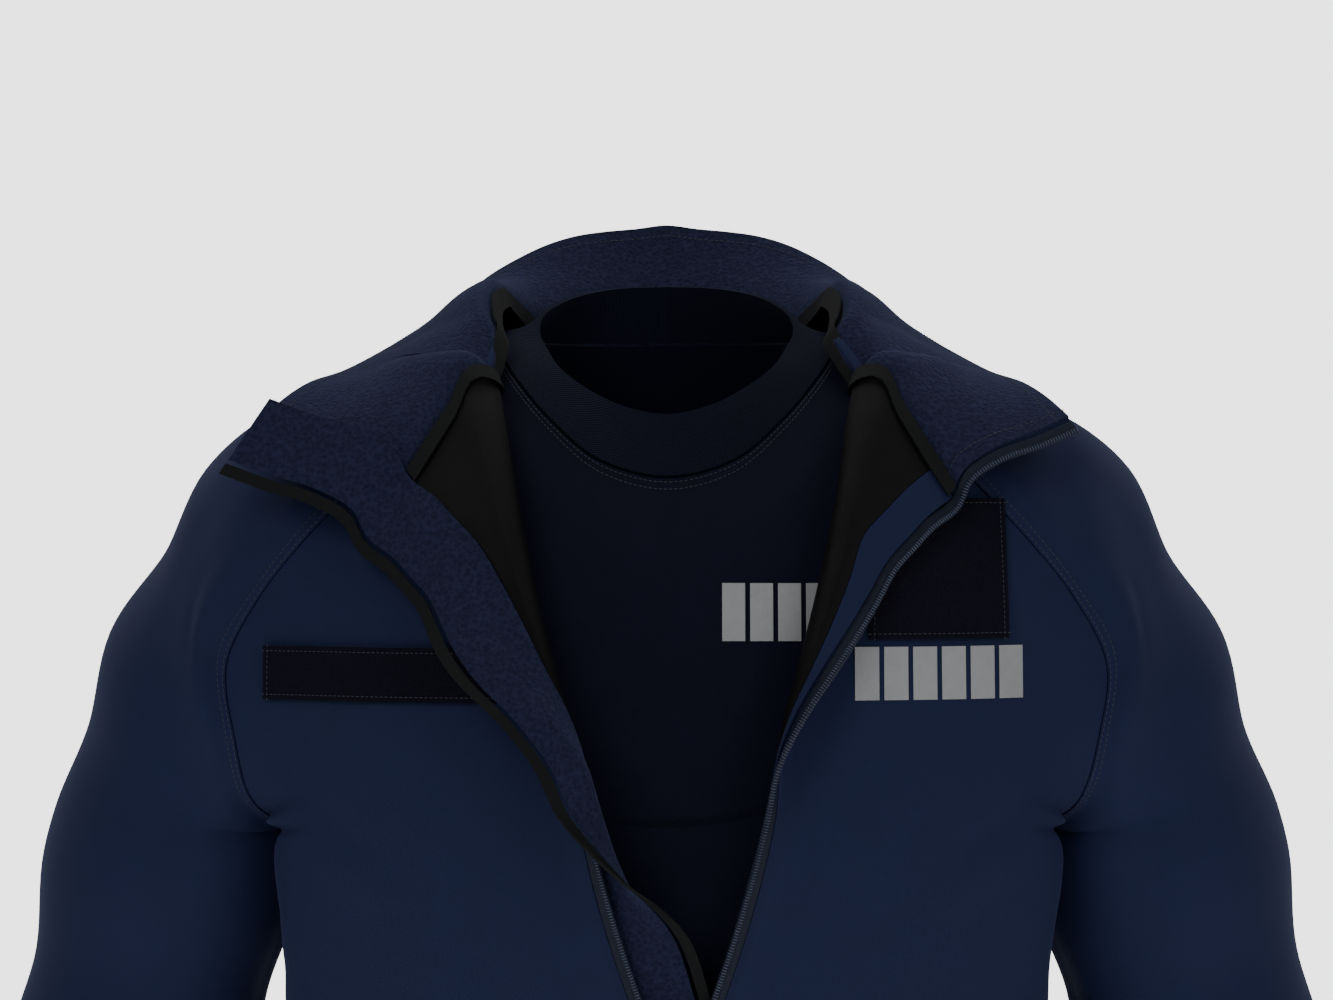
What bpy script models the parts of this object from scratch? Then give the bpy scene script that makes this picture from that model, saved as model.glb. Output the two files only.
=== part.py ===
"""Police uniform top, as worn: a softshell jacket with raglan sleeves, unzipped to the belly with its
collar and front edges turned out, over a crew-neck T-shirt. Every piece of cloth is a thin wall.

Metres, +Z up. The wearer faces -Y and the wearer's left is +X. The origin is between the tops of the
shoulders, where the wearer's neck carries both garments.
"""

import math

import bpy
import numpy as np

for thing in list(bpy.data.objects):
    bpy.data.objects.remove(thing, do_unlink=True)

MM = 0.001

# Cloth thicknesses, and the gap that keeps two pieces apart.
SHELL = 1.8 * MM
FLEECE = 1.5 * MM
LINING = 1.0 * MM
BINDING = 1.0 * MM
JERSEY = 1.2 * MM
RIB = 2.0 * MM
LOOP_TAPE = 1.6 * MM
GAP = 0.35 * MM
LAYER_GAP = 0.85 * MM

# The jacket's main lines.
ZIP_X = 0.005
HEM_Z = -0.69
SLIDER_Z = -0.385
LINED_TO = -0.32
NECK_FRONT = (0.089, -0.045, -0.007)
NECK_BACK = (0.072, 0.066, -0.002)
UNDERARM = (0.184, 0.004, -0.258)
ARMPIT_LOW, ARMPIT_HIGH = -0.270, -0.205
ARM_CLEARANCE, OVERLAP, PANEL_TURNS_IN = 8 * MM, 60 * MM, -0.25
LEVEL_ROWS = (-0.18, -0.10)

# The front edge, the zip and the flap behind it.
FOLD_ARC = 11 * MM
TAPE_OPEN, TAPE_CLOSED = 7 * MM, 4.7 * MM
SEAM_TRIM = 0.35 * MM
NECK_TRIM = 2.6 * MM
FACING_WIDTH = 17 * MM
FLAP_FACING, FLAP_WIDTH, FLAP_BINDING = 10 * MM, 25 * MM, 8 * MM
FLAP_ARC = 14 * MM
COIL_WIDTH = 3 * MM
FLAP_DEPTH = SHELL + 2.5 * LAYER_GAP + LINING + FLEECE
BINDING_HALF, BINDING_HANG = 4.2 * MM, 0.6
TSHIRT_HEM_Z = -0.64
TSHIRT_SHOULDER = (0.162, 0.004, -0.085)
TSHIRT_SIDE_Y = 0.004

# Rows and columns of the cloth walls.
RAGLAN_ROWS, V_ROWS, BODY_ROWS = 10, 3, 3
LAPEL_COLUMNS, FOLD_COLUMNS, CHEST_COLUMNS = 3, 4, 5
BACK_COLUMNS, SLEEVE_COLUMNS, SLEEVE_ROWS = 8, 10, 5
TSHIRT_OFFSET, TSHIRT_ARM_OFFSET, TSHIRT_CLEARANCE, TSHIRT_RAISED = 16 * MM, 10 * MM, 17 * MM, 12 * MM


def table(columns, *rows):
    """A table with named columns, as one array for each name."""
    return dict(zip(columns.split(), np.array(rows, float).T))


# Sections of the dressed torso: height, half width, depth in front and behind, squareness.
TORSO = table(
    "z width front back square",
    (0.040, 0.070, 0.050, 0.070, 2.2),
    (0.000, 0.105, 0.062, 0.082, 2.2),
    (-0.030, 0.140, 0.076, 0.096, 2.3),
    (-0.060, 0.172, 0.093, 0.108, 2.4),
    (-0.100, 0.202, 0.111, 0.118, 2.5),
    (-0.150, 0.216, 0.123, 0.125, 2.7),
    (-0.200, 0.220, 0.129, 0.127, 2.8),
    (-0.260, 0.216, 0.131, 0.125, 2.8),
    (-0.350, 0.204, 0.128, 0.116, 2.6),
    (-0.450, 0.196, 0.126, 0.110, 2.4),
    (-0.550, 0.200, 0.126, 0.116, 2.4),
    (-0.700, 0.212, 0.128, 0.128, 2.4),
)
# The sleeve's middle line, from the side of the neck to the cuff, and its radius.
ARM = table(
    "x y z radius",
    (0.075, 0.010, -0.062, 0.050),
    (0.130, 0.006, -0.083, 0.056),
    (0.186, 0.002, -0.109, 0.067),
    (0.232, 0.003, -0.190, 0.068),
    (0.262, 0.006, -0.280, 0.067),
    (0.284, 0.010, -0.380, 0.063),
    (0.298, -0.010, -0.500, 0.055),
    (0.306, -0.036, -0.618, 0.048),
)
ARM_BLEND, SHOULDER_BLEND, UNDERARM_BLEND, CARVE_BLEND = 0.03, 0.045, 0.004, 0.03
# The largest folds: middle, direction, half length, half width and height above the cloth.
FOLDS = table(
    "x y z run_x run_y run_z length width height",
    (0.205, -0.075, -0.300, -0.35, -0.10, -1.00, 0.090, 0.016, 0.006),
    (0.190, 0.085, -0.320, -0.30, 0.10, -1.00, 0.100, 0.018, 0.007),
    (0.330, 0.020, -0.350, 0.30, 1.00, 0.25, 0.060, 0.012, 0.004),
    (0.240, -0.030, -0.400, 1.00, -0.30, 0.45, 0.050, 0.012, 0.005),
    (0.300, -0.060, -0.455, 1.00, 0.00, -0.30, 0.050, 0.011, 0.004),
    (0.270, 0.050, -0.520, 1.00, 0.20, 0.30, 0.050, 0.013, 0.004),
    (0.170, 0.080, -0.560, -0.20, 0.00, -1.00, 0.090, 0.022, 0.006),
    (0.150, -0.110, -0.600, 0.25, 0.00, -1.00, 0.090, 0.020, 0.005),
)
# The front raglan seam and the back one, seen from the front and from behind.
RAGLAN_FRONT = table(
    "x y z",
    NECK_FRONT,
    (0.130, -0.072, -0.045),
    (0.167, -0.088, -0.083),
    (0.197, -0.084, -0.121),
    (0.217, -0.070, -0.150),
    (0.226, -0.052, -0.176),
    (0.214, -0.030, -0.212),
    UNDERARM,
)
RAGLAN_BACK = table(
    "x y z",
    NECK_BACK,
    (0.108, 0.088, -0.040),
    (0.146, 0.100, -0.083),
    (0.180, 0.098, -0.124),
    (0.208, 0.084, -0.158),
    (0.222, 0.062, -0.186),
    (0.214, 0.036, -0.216),
    UNDERARM,
)
# The front edge from the neckline down: the distance of its crest from the zip line, its height, the
# length turned back, how far that part droops, and the angle through which the edge is turned.
EDGE = table(
    "crest z lapel droop turn",
    (0.0940, -0.031, 0.073, 57, 180),
    (0.0885, -0.060, 0.053, 57, 180),
    (0.0815, -0.100, 0.029, 48, 180),
    (0.0735, -0.135, 0.017, 34, 176),
    (0.0660, -0.165, 0.010, 18, 158),
    (0.0590, -0.190, 0.007, 8, 128),
    (0.0510, -0.220, 0.005, 0, 85),
    (0.0430, -0.252, 0.004, 0, 42),
    (0.0300, -0.300, 0.004, 0, 10),
    (0.0150, -0.345, 0.004, 0, 2),
    (0.0003, -0.385, 0.004, 0, 2),
    (0.0003, -0.690, 0.004, 0, 2),
)
# How far the flap turns back over the zip beside each of those rows.
FLAP_TURN = table(
    "z turn", (-0.135, 0), (-0.165, 18), (-0.190, 44), (-0.220, 80), (-0.252, 105), (-0.270, 75), (-0.300, 0),
    (-0.385, 0)
)
# The collar's top edge, from the front corner to the middle of the back.
COLLAR_TOP = table(
    "x y z",
    (0.206, -0.080, -0.050),
    (0.190, -0.040, -0.034),
    (0.170, 0.002, -0.024),
    (0.147, 0.048, -0.008),
    (0.118, 0.092, 0.014),
    (0.094, 0.113, 0.036),
    (0.064, 0.124, 0.053),
    (0.000, 0.130, 0.064),
)
# The collar's rows: share of the way to the top edge, rise above the straight line, height off the jacket.
COLLAR = table("share rise clearance", (0, 0, 0), (0.1, 0.009, 0.005), (0.36, 0.010, 0.006), (0.7, 0.004, 0.006),
               (1, 0, 0.006))
# The T-shirt's neckline seam and the rib's top edge, from the front middle to the back middle.
TSHIRT_NECK = table(
    "x y z", (0.0, -0.096, -0.074), (0.035, -0.090, -0.066), (0.066, -0.066, -0.044), (0.085, -0.028, -0.020),
    (0.086, 0.012, -0.008), (0.070, 0.050, -0.004), (0.038, 0.071, -0.002), (0.0, 0.077, -0.001)
)
RIB_TOP = table(
    "x y z", (0.0, -0.077, -0.046), (0.030, -0.070, -0.040), (0.054, -0.048, -0.023), (0.068, -0.014, -0.003),
    (0.066, 0.018, 0.012), (0.052, 0.046, 0.021), (0.028, 0.060, 0.026), (0.0, 0.064, 0.027)
)


# ---------------------------------------------------------------- curves and fields


def spline(at, knots, values):
    """A smooth curve through the values at the knots. Its slope at a knot follows the neighbours."""
    knots, values, at = (np.asarray(a, float) for a in (knots, values, at))
    slopes = np.gradient(values, knots, axis=0)
    k = np.clip(np.searchsorted(knots, at, side="right") - 1, 0, len(knots) - 2)
    span = knots[k + 1] - knots[k]
    t = np.clip((at - knots[k]) / span, 0, 1)
    if values.ndim > 1:
        span, t = span[..., None], t[..., None]
    return (
        (2 * t**3 - 3 * t**2 + 1) * values[k]
        + (t**3 - 2 * t**2 + t) * span * slopes[k]
        + (3 * t**2 - 2 * t**3) * values[k + 1]
        + (t**3 - t**2) * span * slopes[k + 1]
    )


def points_of(rows):
    """A table's x, y and z as an array of points."""
    return np.stack([rows["x"], rows["y"], rows["z"]], axis=1)


def lengths(points):
    """The distance along a line of points, from its start."""
    return np.concatenate([[0], np.cumsum(np.linalg.norm(np.diff(points, axis=0), axis=1))])


def smooth_line(points, count):
    """count + 1 points evenly along the smooth curve through these."""
    knots = lengths(points)
    fine = spline(np.linspace(0, knots[-1], 12 * len(points)), knots, points)
    return evenly(fine, count)


def evenly(points, count):
    """count + 1 points evenly along a line of points, with the same ends."""
    along = lengths(points)
    at = np.linspace(0, along[-1], count + 1)
    return np.stack([np.interp(at, along, points[:, i]) for i in range(3)], axis=1)


def ramp(value, low, high):
    """0 below low and 1 above high, with a smooth step between."""
    t = np.clip((value - low) / (high - low), 0, 1)
    return t * t * (3 - 2 * t)


def smooth_min(a, b, reach):
    """The lower of two fields, rounded where they are within this reach of each other."""
    t = np.clip(0.5 + 0.5 * (b - a) / reach, 0, 1)
    return b * (1 - t) + a * t - reach * t * (1 - t)


def smooth_max(a, b, reach):
    """The higher of two fields, rounded in the same way."""
    return -smooth_min(-a, -b, reach)


def gradient(field, points, step=0.4 * MM):
    """The field's slope at each point, from steps along the three axes."""
    parts = []
    for axis in range(3):
        shift = np.zeros(3)
        shift[axis] = step
        parts.append((field(points + shift) - field(points - shift)) / (2 * step))
    return np.stack(parts, axis=-1)


def normals_of(field, points):
    """The unit vectors that point out of the field at these points."""
    slope = gradient(field, points)
    return slope / np.linalg.norm(slope, axis=-1, keepdims=True)


def settle(field, points, turns=10, lift=1.0):
    """Moves the points along the field's slope until they lie where it is zero.

    With no lift they keep their height.
    """
    for _ in range(turns):
        slope = gradient(field, points)
        slope[..., 2] = slope[..., 2] * lift
        steepness = np.maximum((slope**2).sum(-1), 0.05)
        step = field(points) / steepness
        points = points - np.clip(step, -0.03, 0.03)[..., None] * slope
    return points


def torso(points):
    """About the distance to the torso, positive outside it."""
    z = points[..., 2]
    at = np.clip(-z, -TORSO["z"][0], -TORSO["z"][-1])
    width, front, back, square = (spline(at, -TORSO["z"], TORSO[n]) for n in ("width", "front", "back", "square"))
    depth = np.where(points[..., 1] < 0, front, back)
    spread = np.abs(points[..., 0]) / width
    reach = np.abs(points[..., 1]) / depth
    share = (spread**square + reach**square + 1e-9) ** (1 / square)
    return np.hypot(points[..., 0], points[..., 1]) * (1 - 1 / share)


def arm(points):
    """The distance to the nearer sleeve's outside."""
    p = np.stack([np.abs(points[..., 0]), points[..., 1], points[..., 2]], axis=-1)
    joints = points_of(ARM)
    found = None
    for k in range(len(joints) - 1):
        run = joints[k + 1] - joints[k]
        t = np.clip(((p - joints[k]) @ run) / (run @ run), 0, 1)
        if k == len(joints) - 2:
            t = np.maximum(((p - joints[k]) @ run) / (run @ run), 0)
        radius = ARM["radius"][k] + t * (ARM["radius"][k + 1] - ARM["radius"][k])
        near = np.linalg.norm(p - joints[k] - t[..., None] * run, axis=-1) - radius
        found = near if found is None else smooth_min(found, near, ARM_BLEND)
    return found + ARM_BLEND / 6


def folds(points):
    """How far the largest folds stand above the cloth."""
    p = np.stack([np.abs(points[..., 0]), points[..., 1], points[..., 2]], axis=-1)
    total = np.zeros(p.shape[:-1])
    for k in range(len(FOLDS["x"])):
        run = np.array([FOLDS["run_x"][k], FOLDS["run_y"][k], FOLDS["run_z"][k]])
        run /= np.linalg.norm(run)
        away = p - np.array([FOLDS["x"][k], FOLDS["y"][k], FOLDS["z"][k]])
        along = away @ run
        across = np.linalg.norm(away - along[..., None] * run, axis=-1)
        shape = np.exp(-((along / FOLDS["length"][k]) ** 2) - (across / FOLDS["width"][k]) ** 2)
        total = total + FOLDS["height"][k] * shape
    return total


def joined(points, torso_in, arm_in, gap, raised):
    """The torso and the sleeves as one surface that parts at the underarm.

    Both are drawn in by a length of their own. Below the underarm the torso keeps the gap to the sleeve.
    """
    below = ramp(raised - points[..., 2], -ARMPIT_HIGH, -ARMPIT_LOW)
    sleeve = arm(points) + arm_in
    hollow = (gap + OVERLAP) * below - OVERLAP - sleeve
    body = smooth_max(torso(points) + torso_in, hollow, CARVE_BLEND)
    return smooth_min(body, sleeve, SHOULDER_BLEND + (UNDERARM_BLEND - SHOULDER_BLEND) * below)


def jacket(points):
    """Zero on the outside of the jacket's shell."""
    return joined(points, 0, 0, ARM_CLEARANCE, 0) - folds(points)


def hollowed(points):
    """The torso of the jacket alone, hollowed beside the arms."""
    below = ramp(-points[..., 2], -ARMPIT_HIGH, -ARMPIT_LOW)
    hollow = (ARM_CLEARANCE + OVERLAP) * below - OVERLAP - arm(points)
    return smooth_max(torso(points), hollow, CARVE_BLEND) - folds(points)


def jacket_sleeve(points):
    """Zero on the outside of the jacket's sleeve alone."""
    return arm(points) - folds(points)


def tshirt(points):
    """Zero on the outside of the T-shirt."""
    return joined(points, TSHIRT_OFFSET, TSHIRT_ARM_OFFSET, TSHIRT_CLEARANCE + TSHIRT_ARM_OFFSET, TSHIRT_RAISED)


def tshirt_torso(points):
    """Zero on the T-shirt's body, which below the underarm keeps off the sleeve."""
    below = ramp(TSHIRT_RAISED - points[..., 2], -ARMPIT_HIGH, -ARMPIT_LOW)
    hollow = (TSHIRT_CLEARANCE + OVERLAP) * below - OVERLAP - arm(points)
    alone = smooth_max(torso(points) + TSHIRT_OFFSET, hollow, CARVE_BLEND)
    return below * alone + (1 - below) * tshirt(points)


def tshirt_sleeve(points):
    """Zero on the outside of the T-shirt's sleeve alone."""
    return arm(points) + TSHIRT_ARM_OFFSET


def on_front(field, x, z):
    """The point of the front that is seen at this width and height."""
    low, high = np.full(np.shape(x), -0.22), np.full(np.shape(x), -0.005)
    for _ in range(24):
        middle = (low + high) / 2
        outside = field(np.stack([x, middle, z], axis=-1)) > 0
        low, high = np.where(outside, middle, low), np.where(outside, high, middle)
    return np.stack([x, (low + high) / 2, z], axis=-1)


def mirrored(points, side):
    """The points on the wearer's left for side 1, or their mirror image for side -1."""
    return points * np.array([side, 1, 1])


# ---------------------------------------------------------------- cloth walls


def grid_normals(grid):
    """The normal at each point of a grid of points, from its neighbours in both directions."""
    normal = np.cross(np.gradient(grid, axis=1), np.gradient(grid, axis=0))
    return normal / np.maximum(np.linalg.norm(normal, axis=-1, keepdims=True), 1e-12)


def volume(mesh):
    """The signed volume inside a mesh, which is negative where its faces point inwards."""
    mesh.calc_loop_triangles()
    total = 0.0
    for triangle in mesh.loop_triangles:
        a, b, c = (mesh.vertices[i].co for i in triangle.vertices)
        total += a.dot(b.cross(c)) / 6
    return total


def solid(name, vertices, faces, material):
    """An object from a closed surface, with its faces turned outwards."""
    mesh = bpy.data.meshes.new(name)
    mesh.from_pydata([tuple(v) for v in vertices], [], faces)
    if volume(mesh) < 0:
        mesh.flip_normals()
    mesh.shade_smooth()
    mesh.set_sharp_from_angle(angle=math.radians(40))
    mesh.materials.append(material)
    thing = bpy.data.objects.new(name, mesh)
    bpy.context.scene.collection.objects.link(thing)
    return thing


def wall(name, outer, inner, material, closed_from=None):
    """A closed solid between two grids of points, with its rims filled.

    From row closed_from on, the last column is the first one again, as on a tube.
    """
    rows, columns = outer.shape[:2]
    index, vertices, faces, edges = {}, [], [], {}

    def corner(r, c, layer):
        if closed_from is not None and r >= closed_from and c == columns - 1:
            c = 0
        key = (r, c, layer)
        if key not in index:
            index[key] = len(vertices)
            vertices.append((outer, inner)[layer][r, c])
        return index[key]

    for r in range(rows - 1):
        for c in range(columns - 1):
            loop = [(r, c), (r, c + 1), (r + 1, c + 1), (r + 1, c)]
            upper = [corner(*rc, 0) for rc in loop]
            lower = [corner(*rc, 1) for rc in loop]
            across = np.linalg.norm(outer[r, c] - outer[r + 1, c + 1])
            other = np.linalg.norm(outer[r, c + 1] - outer[r + 1, c])
            for half in ((0, 1, 2), (0, 2, 3)) if across < other else ((0, 1, 3), (1, 2, 3)):
                faces.append(tuple(upper[i] for i in half))
                faces.append(tuple(lower[i] for i in half[::-1]))
            for k in range(4):
                a, b = upper[k], upper[(k + 1) % 4]
                edges.setdefault((min(a, b), max(a, b)), []).append((a, b, lower[k], lower[(k + 1) % 4]))
    for found in edges.values():
        if len(found) == 1:
            a, b, c, d = found[0]
            faces.append((b, a, c))
            faces.append((b, c, d))
    return solid(name, vertices, faces, material)


def sheet(name, grid, normals, low, high, material, closed_from=None):
    """A wall from this far to this far along the normals of a grid."""
    return wall(name, grid + normals * high, grid + normals * low, material, closed_from)


def blocks(name, xs, ys, zs, filled, origin, material):
    """One solid made of the cells of a small lattice, given by their column, row and layer numbers."""
    index, vertices, faces = {}, [], []

    def corner(i, j, k):
        if (i, j, k) not in index:
            index[(i, j, k)] = len(vertices)
            vertices.append(np.array(origin) + np.array([xs[i], ys[j], zs[k]]) * MM)
        return index[(i, j, k)]

    sides = (
        ((-1, 0, 0), ((0, 0, 0), (0, 0, 1), (0, 1, 1), (0, 1, 0))),
        ((1, 0, 0), ((1, 0, 0), (1, 1, 0), (1, 1, 1), (1, 0, 1))),
        ((0, -1, 0), ((0, 0, 0), (1, 0, 0), (1, 0, 1), (0, 0, 1))),
        ((0, 1, 0), ((0, 1, 0), (0, 1, 1), (1, 1, 1), (1, 1, 0))),
        ((0, 0, -1), ((0, 0, 0), (0, 1, 0), (1, 1, 0), (1, 0, 0))),
        ((0, 0, 1), ((0, 0, 1), (1, 0, 1), (1, 1, 1), (0, 1, 1))),
    )
    for cell in filled:
        for step, loop in sides:
            if tuple(a + b for a, b in zip(cell, step)) not in filled:
                faces.append(tuple(corner(*(a + b for a, b in zip(cell, at))) for at in loop))
    return solid(name, vertices, faces, material)


def drawn_in(grid, first_row=0.0, last_row=0.0, first_column=0.0, last_column=0.0):
    """The grid with its outer rows and columns drawn in by these lengths."""
    grid = grid.copy()

    def pull(edge, neighbour, amount):
        run = neighbour - edge
        length = np.linalg.norm(run, axis=-1, keepdims=True)
        return edge + run / np.maximum(length, 1e-9) * np.minimum(amount, 0.45 * length)

    if first_row:
        grid[0] = pull(grid[0], grid[1], first_row)
    if last_row:
        grid[-1] = pull(grid[-1], grid[-2], last_row)
    if first_column:
        grid[:, 0] = pull(grid[:, 0], grid[:, 1], first_column)
    if last_column:
        grid[:, -1] = pull(grid[:, -1], grid[:, -2], last_column)
    return grid


def lay(field, start, end, count, bow=None):
    """Rows of count + 1 points from each start to its end, evenly spaced along the field's surface.

    Where an end is off the surface, the points near it are led there.
    """
    share = np.linspace(0, 1, count + 1)[:, None]
    rows = start[:, None] + (end - start)[:, None] * share
    if bow is not None:
        rows = rows + bow * (1 - (2 * share - 1) ** 2)
    lift = ramp(end[:, 2], *LEVEL_ROWS)
    for _ in range(3):
        rows[:, 1:-1] = settle(field, rows[:, 1:-1], 5, lift[:, None])
        rows = np.array([evenly(row, count) for row in rows])
    rows[:, 1:-1] = settle(field, rows[:, 1:-1], 6, lift[:, None])
    for end_points, column in ((start, 0), (end, -1)):
        off = end_points - settle(field, end_points, 10, lift)
        near = ramp(share if column else 1 - share, 0.75, 1.1)
        rows[:, 1:-1] += (off[:, None] * near)[:, 1:-1]
    return rows


def kept_off(field, points, clearance):
    """The points, with those nearer the field's surface than this moved out to it."""
    def shifted(p):
        return np.minimum(field(p) - clearance, 0)

    return settle(shifted, points, 8)


# ---------------------------------------------------------------- the jacket's seams and edges


def underarm():
    """The point at which the torso and the sleeve part, straight above the gap between them."""
    low, high = -0.29, -0.20
    for _ in range(24):
        middle = (low + high) / 2
        inside = jacket(np.array([[UNDERARM[0], UNDERARM[1], middle]]))[0] < 0
        low, high = (low, middle) if inside else (middle, high)
    return np.array([UNDERARM[0], UNDERARM[1], low])


def lay_panel(start, end, count, bow=None):
    """Rows on the front or the back. From the underarm down they turn into the gap beside the arm."""
    upper = lay(jacket, start, end, count, bow)
    lower = lay(hollowed, start, end, count, bow)
    return np.where((end[:, 2] < PANEL_TURNS_IN)[:, None, None], lower, upper)


def panel_normals(grid, end):
    """The normals of the rows that lay_panel made."""
    turned = (end[:, 2] < PANEL_TURNS_IN)[:, None, None]
    return np.where(turned, normals_of(hollowed, grid), normals_of(jacket, grid))


def raglan_seam(rows, end):
    """A raglan seam from the neck to the underarm, and its normals."""
    line = points_of(rows)
    line[-1] = end
    line = smooth_line(line, RAGLAN_ROWS)
    for _ in range(3):
        line[:-1] = settle(jacket, line[:-1])
        line = evenly(line, RAGLAN_ROWS)
    line[:-1] = settle(jacket, line[:-1])
    return line, normals_of(jacket, line)


def side_seam(start):
    """From the underarm down to the hem, at the rows' heights."""
    z = body_heights()
    y = np.linspace(start[1], 0, len(z))
    low, high = np.full(z.shape, 0.10), np.full(z.shape, 0.30)
    for _ in range(24):
        middle = (low + high) / 2
        at = np.stack([middle, y, z], axis=-1)
        inside = (torso(at) < 0) & (arm(at) > ARM_CLEARANCE)
        low, high = np.where(inside, middle, low), np.where(inside, high, middle)
    line = np.stack([low, y, z], axis=-1)
    line[1:] = settle(jacket, line[1:], 8)
    line[0] = start
    return line


def body_heights():
    """The heights of the rows below the underarm: first to the slider, then to the hem."""
    upper = np.linspace(ARMPIT_LOW, SLIDER_Z, V_ROWS + 1)
    return np.concatenate([upper, np.linspace(SLIDER_Z, HEM_Z, BODY_ROWS + 1)[1:]])


def edge_heights():
    """The heights at which the front's rows meet its front edge."""
    return np.concatenate([np.linspace(EDGE["z"][0], ARMPIT_LOW, RAGLAN_ROWS + 1), body_heights()[1:]])


def edge_row(z):
    """The front edge at this height: crest, length turned back, droop and turn."""
    at = -EDGE["z"]
    crest, lapel, droop, turn = (float(np.interp(-z, at, EDGE[n])) for n in ("crest", "lapel", "droop", "turn"))
    if z > SLIDER_Z + 0.02:
        crest = float(spline(-z, at, EDGE["crest"]))
    return max(crest, 0.3 * MM), lapel, math.radians(droop), math.radians(max(turn, 0.5))


def tape_width(z):
    """How far the zip's tape and teeth stand out from the front edge at this height."""
    return TAPE_CLOSED + (TAPE_OPEN - TAPE_CLOSED) * float(ramp(z, SLIDER_Z - 0.01, SLIDER_Z + 0.05))


def place(rows, side):
    """Points on the chest for rows of flat ones: start, height and droop of the row, and for each
    point its distances outboard of the start and above the cloth."""
    start, z, droop = (np.array([row[i] for row in rows])[:, None] for i in range(3))
    flat = np.array([row[3] for row in rows])
    outboard, above = flat[..., 0], flat[..., 1]
    lean = np.where(outboard > 0, droop, 0.0)
    base = on_front(jacket, ZIP_X + side * (start + outboard * np.cos(lean)), z - outboard * np.sin(lean))
    return base + normals_of(jacket, base) * above[..., None]


def edge_start(z):
    """Where on the chest a row of the front edge starts, and the radius of its fold."""
    crest, lapel, droop, turn = edge_row(z)
    radius = FOLD_ARC / turn
    start = crest + radius * math.sin(min(turn, math.pi / 2))
    return start + max(math.cos(turn), 0) * (lapel + tape_width(z)), radius


def edge_grid(heights, side, distances, offsets):
    """Points of the front near its edge: how far each is from the edge, and how far outside the cloth.

    The distances are a function of a row's height that gives one number for each column.
    """
    rows = []
    for z in heights:
        _, lapel, droop, turn = edge_row(z)
        start, radius = edge_start(z)
        columns = distances(z)
        flat = []
        for distance, offset in zip(columns, np.broadcast_to(offsets, np.shape(columns))):
            angle = turn * float(np.clip(1 - (distance - lapel) / FOLD_ARC, 0, 1))
            at = np.array([-radius * math.sin(angle), radius * (1 - math.cos(angle))])
            heading = np.array([-math.cos(angle), math.sin(angle)])
            beyond = lapel - distance if distance < lapel else min(lapel + FOLD_ARC - distance, 0)
            flat.append(at + heading * beyond + np.array([math.sin(angle), math.cos(angle)]) * offset)
        rows.append((start, z, droop, flat))
    return place(rows, side)


def facing_width(z, width):
    """How far a facing reaches in from the edge. It stays on the part that is turned back."""
    return min(width, 0.6 * edge_row(z)[1])


def flap_grid(heights, side, distances, offset):
    """Points of the flap: how far each is from its sewn edge, and how far outside the cloth."""
    rows = []
    for z in heights:
        _, lapel, droop, turn = edge_row(z)
        start, radius = edge_start(z)
        extra = max(math.radians(float(np.interp(-z, -FLAP_TURN["z"], FLAP_TURN["turn"]))), 0.005)
        sewn = facing_width(z, FLAP_FACING)
        straight = sewn + tape_width(z) + 1.5 * MM
        bend = FLAP_ARC / extra
        heading, facing = np.array([-math.cos(turn), math.sin(turn)]), np.array([math.sin(turn), math.cos(turn)])
        edge = np.array([-radius * math.sin(turn), radius * (1 - math.cos(turn))])
        edge = edge + heading * (lapel - sewn) - facing * FLAP_DEPTH
        flat = []
        for distance in distances:
            angle = turn + extra * float(np.clip((distance - straight) / FLAP_ARC, 0, 1))
            across = np.array([math.sin(angle), math.cos(angle)])
            at = edge + heading * min(distance, straight) - (across - facing) * bend
            at = at + np.array([-across[1], across[0]]) * max(distance - straight - FLAP_ARC, 0)
            flat.append(at + across * offset)
        rows.append((start, z, droop, flat))
    return place(rows, side)


def shell_columns(z):
    """The distances from the edge of the shell's columns: across the lapel, then round the fold."""
    lapel = edge_row(z)[1]
    flat = np.linspace(0, lapel, LAPEL_COLUMNS + 1)[:-1]
    return np.concatenate([flat, lapel + FOLD_ARC * np.linspace(0, 1, FOLD_COLUMNS + 1)])


def front_grids(side, seam, side_line):
    """The front's outer and inner faces, from the zip over the fold and the chest to the seams."""
    ends = mirrored(np.concatenate([seam[0], side_line[1:]]), side)
    end_normals = mirrored(np.concatenate([seam[1], normals_of(jacket, side_line[1:])]), side)
    outer = edge_grid(edge_heights(), side, shell_columns, 0)
    inner = edge_grid(edge_heights(), side, shell_columns, -SHELL)
    panel = lay_panel(outer[:, -1], ends, CHEST_COLUMNS)[:, 1:]
    normals = panel_normals(panel, ends)
    normals[:, -1] = end_normals
    return np.concatenate([outer, panel], axis=1), np.concatenate([inner, panel - normals * SHELL], axis=1)


def back_grid(seam, side_line):
    """The back, from the wearer's right seams to the left ones, and its normals."""
    ends = np.concatenate([seam[0], side_line[1:]])
    end_normals = np.concatenate([seam[1], normals_of(jacket, side_line[1:])])
    middle = np.concatenate([np.linspace(ends[0, 2] - 0.006, ARMPIT_LOW, RAGLAN_ROWS + 1), body_heights()[1:]])
    bow = np.stack([0 * middle, 0.125 - ends[:, 1], middle - ends[:, 2]], axis=-1)[:, None]
    grid = lay_panel(mirrored(ends, -1), ends, BACK_COLUMNS, bow)
    normals = panel_normals(grid, ends)
    normals[:, -1], normals[:, 0] = end_normals, mirrored(end_normals, -1)
    return grid, normals


def cast(field, centre, directions, reach=0.15):
    """Where rays from the centre leave the field."""
    low, high = np.zeros(len(directions)), np.full(len(directions), reach)
    for _ in range(26):
        middle = (low + high) / 2
        inside = field(centre + directions * middle[:, None]) < 0
        low, high = np.where(inside, middle, low), np.where(inside, high, middle)
    return centre + directions * low[:, None]


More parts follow.
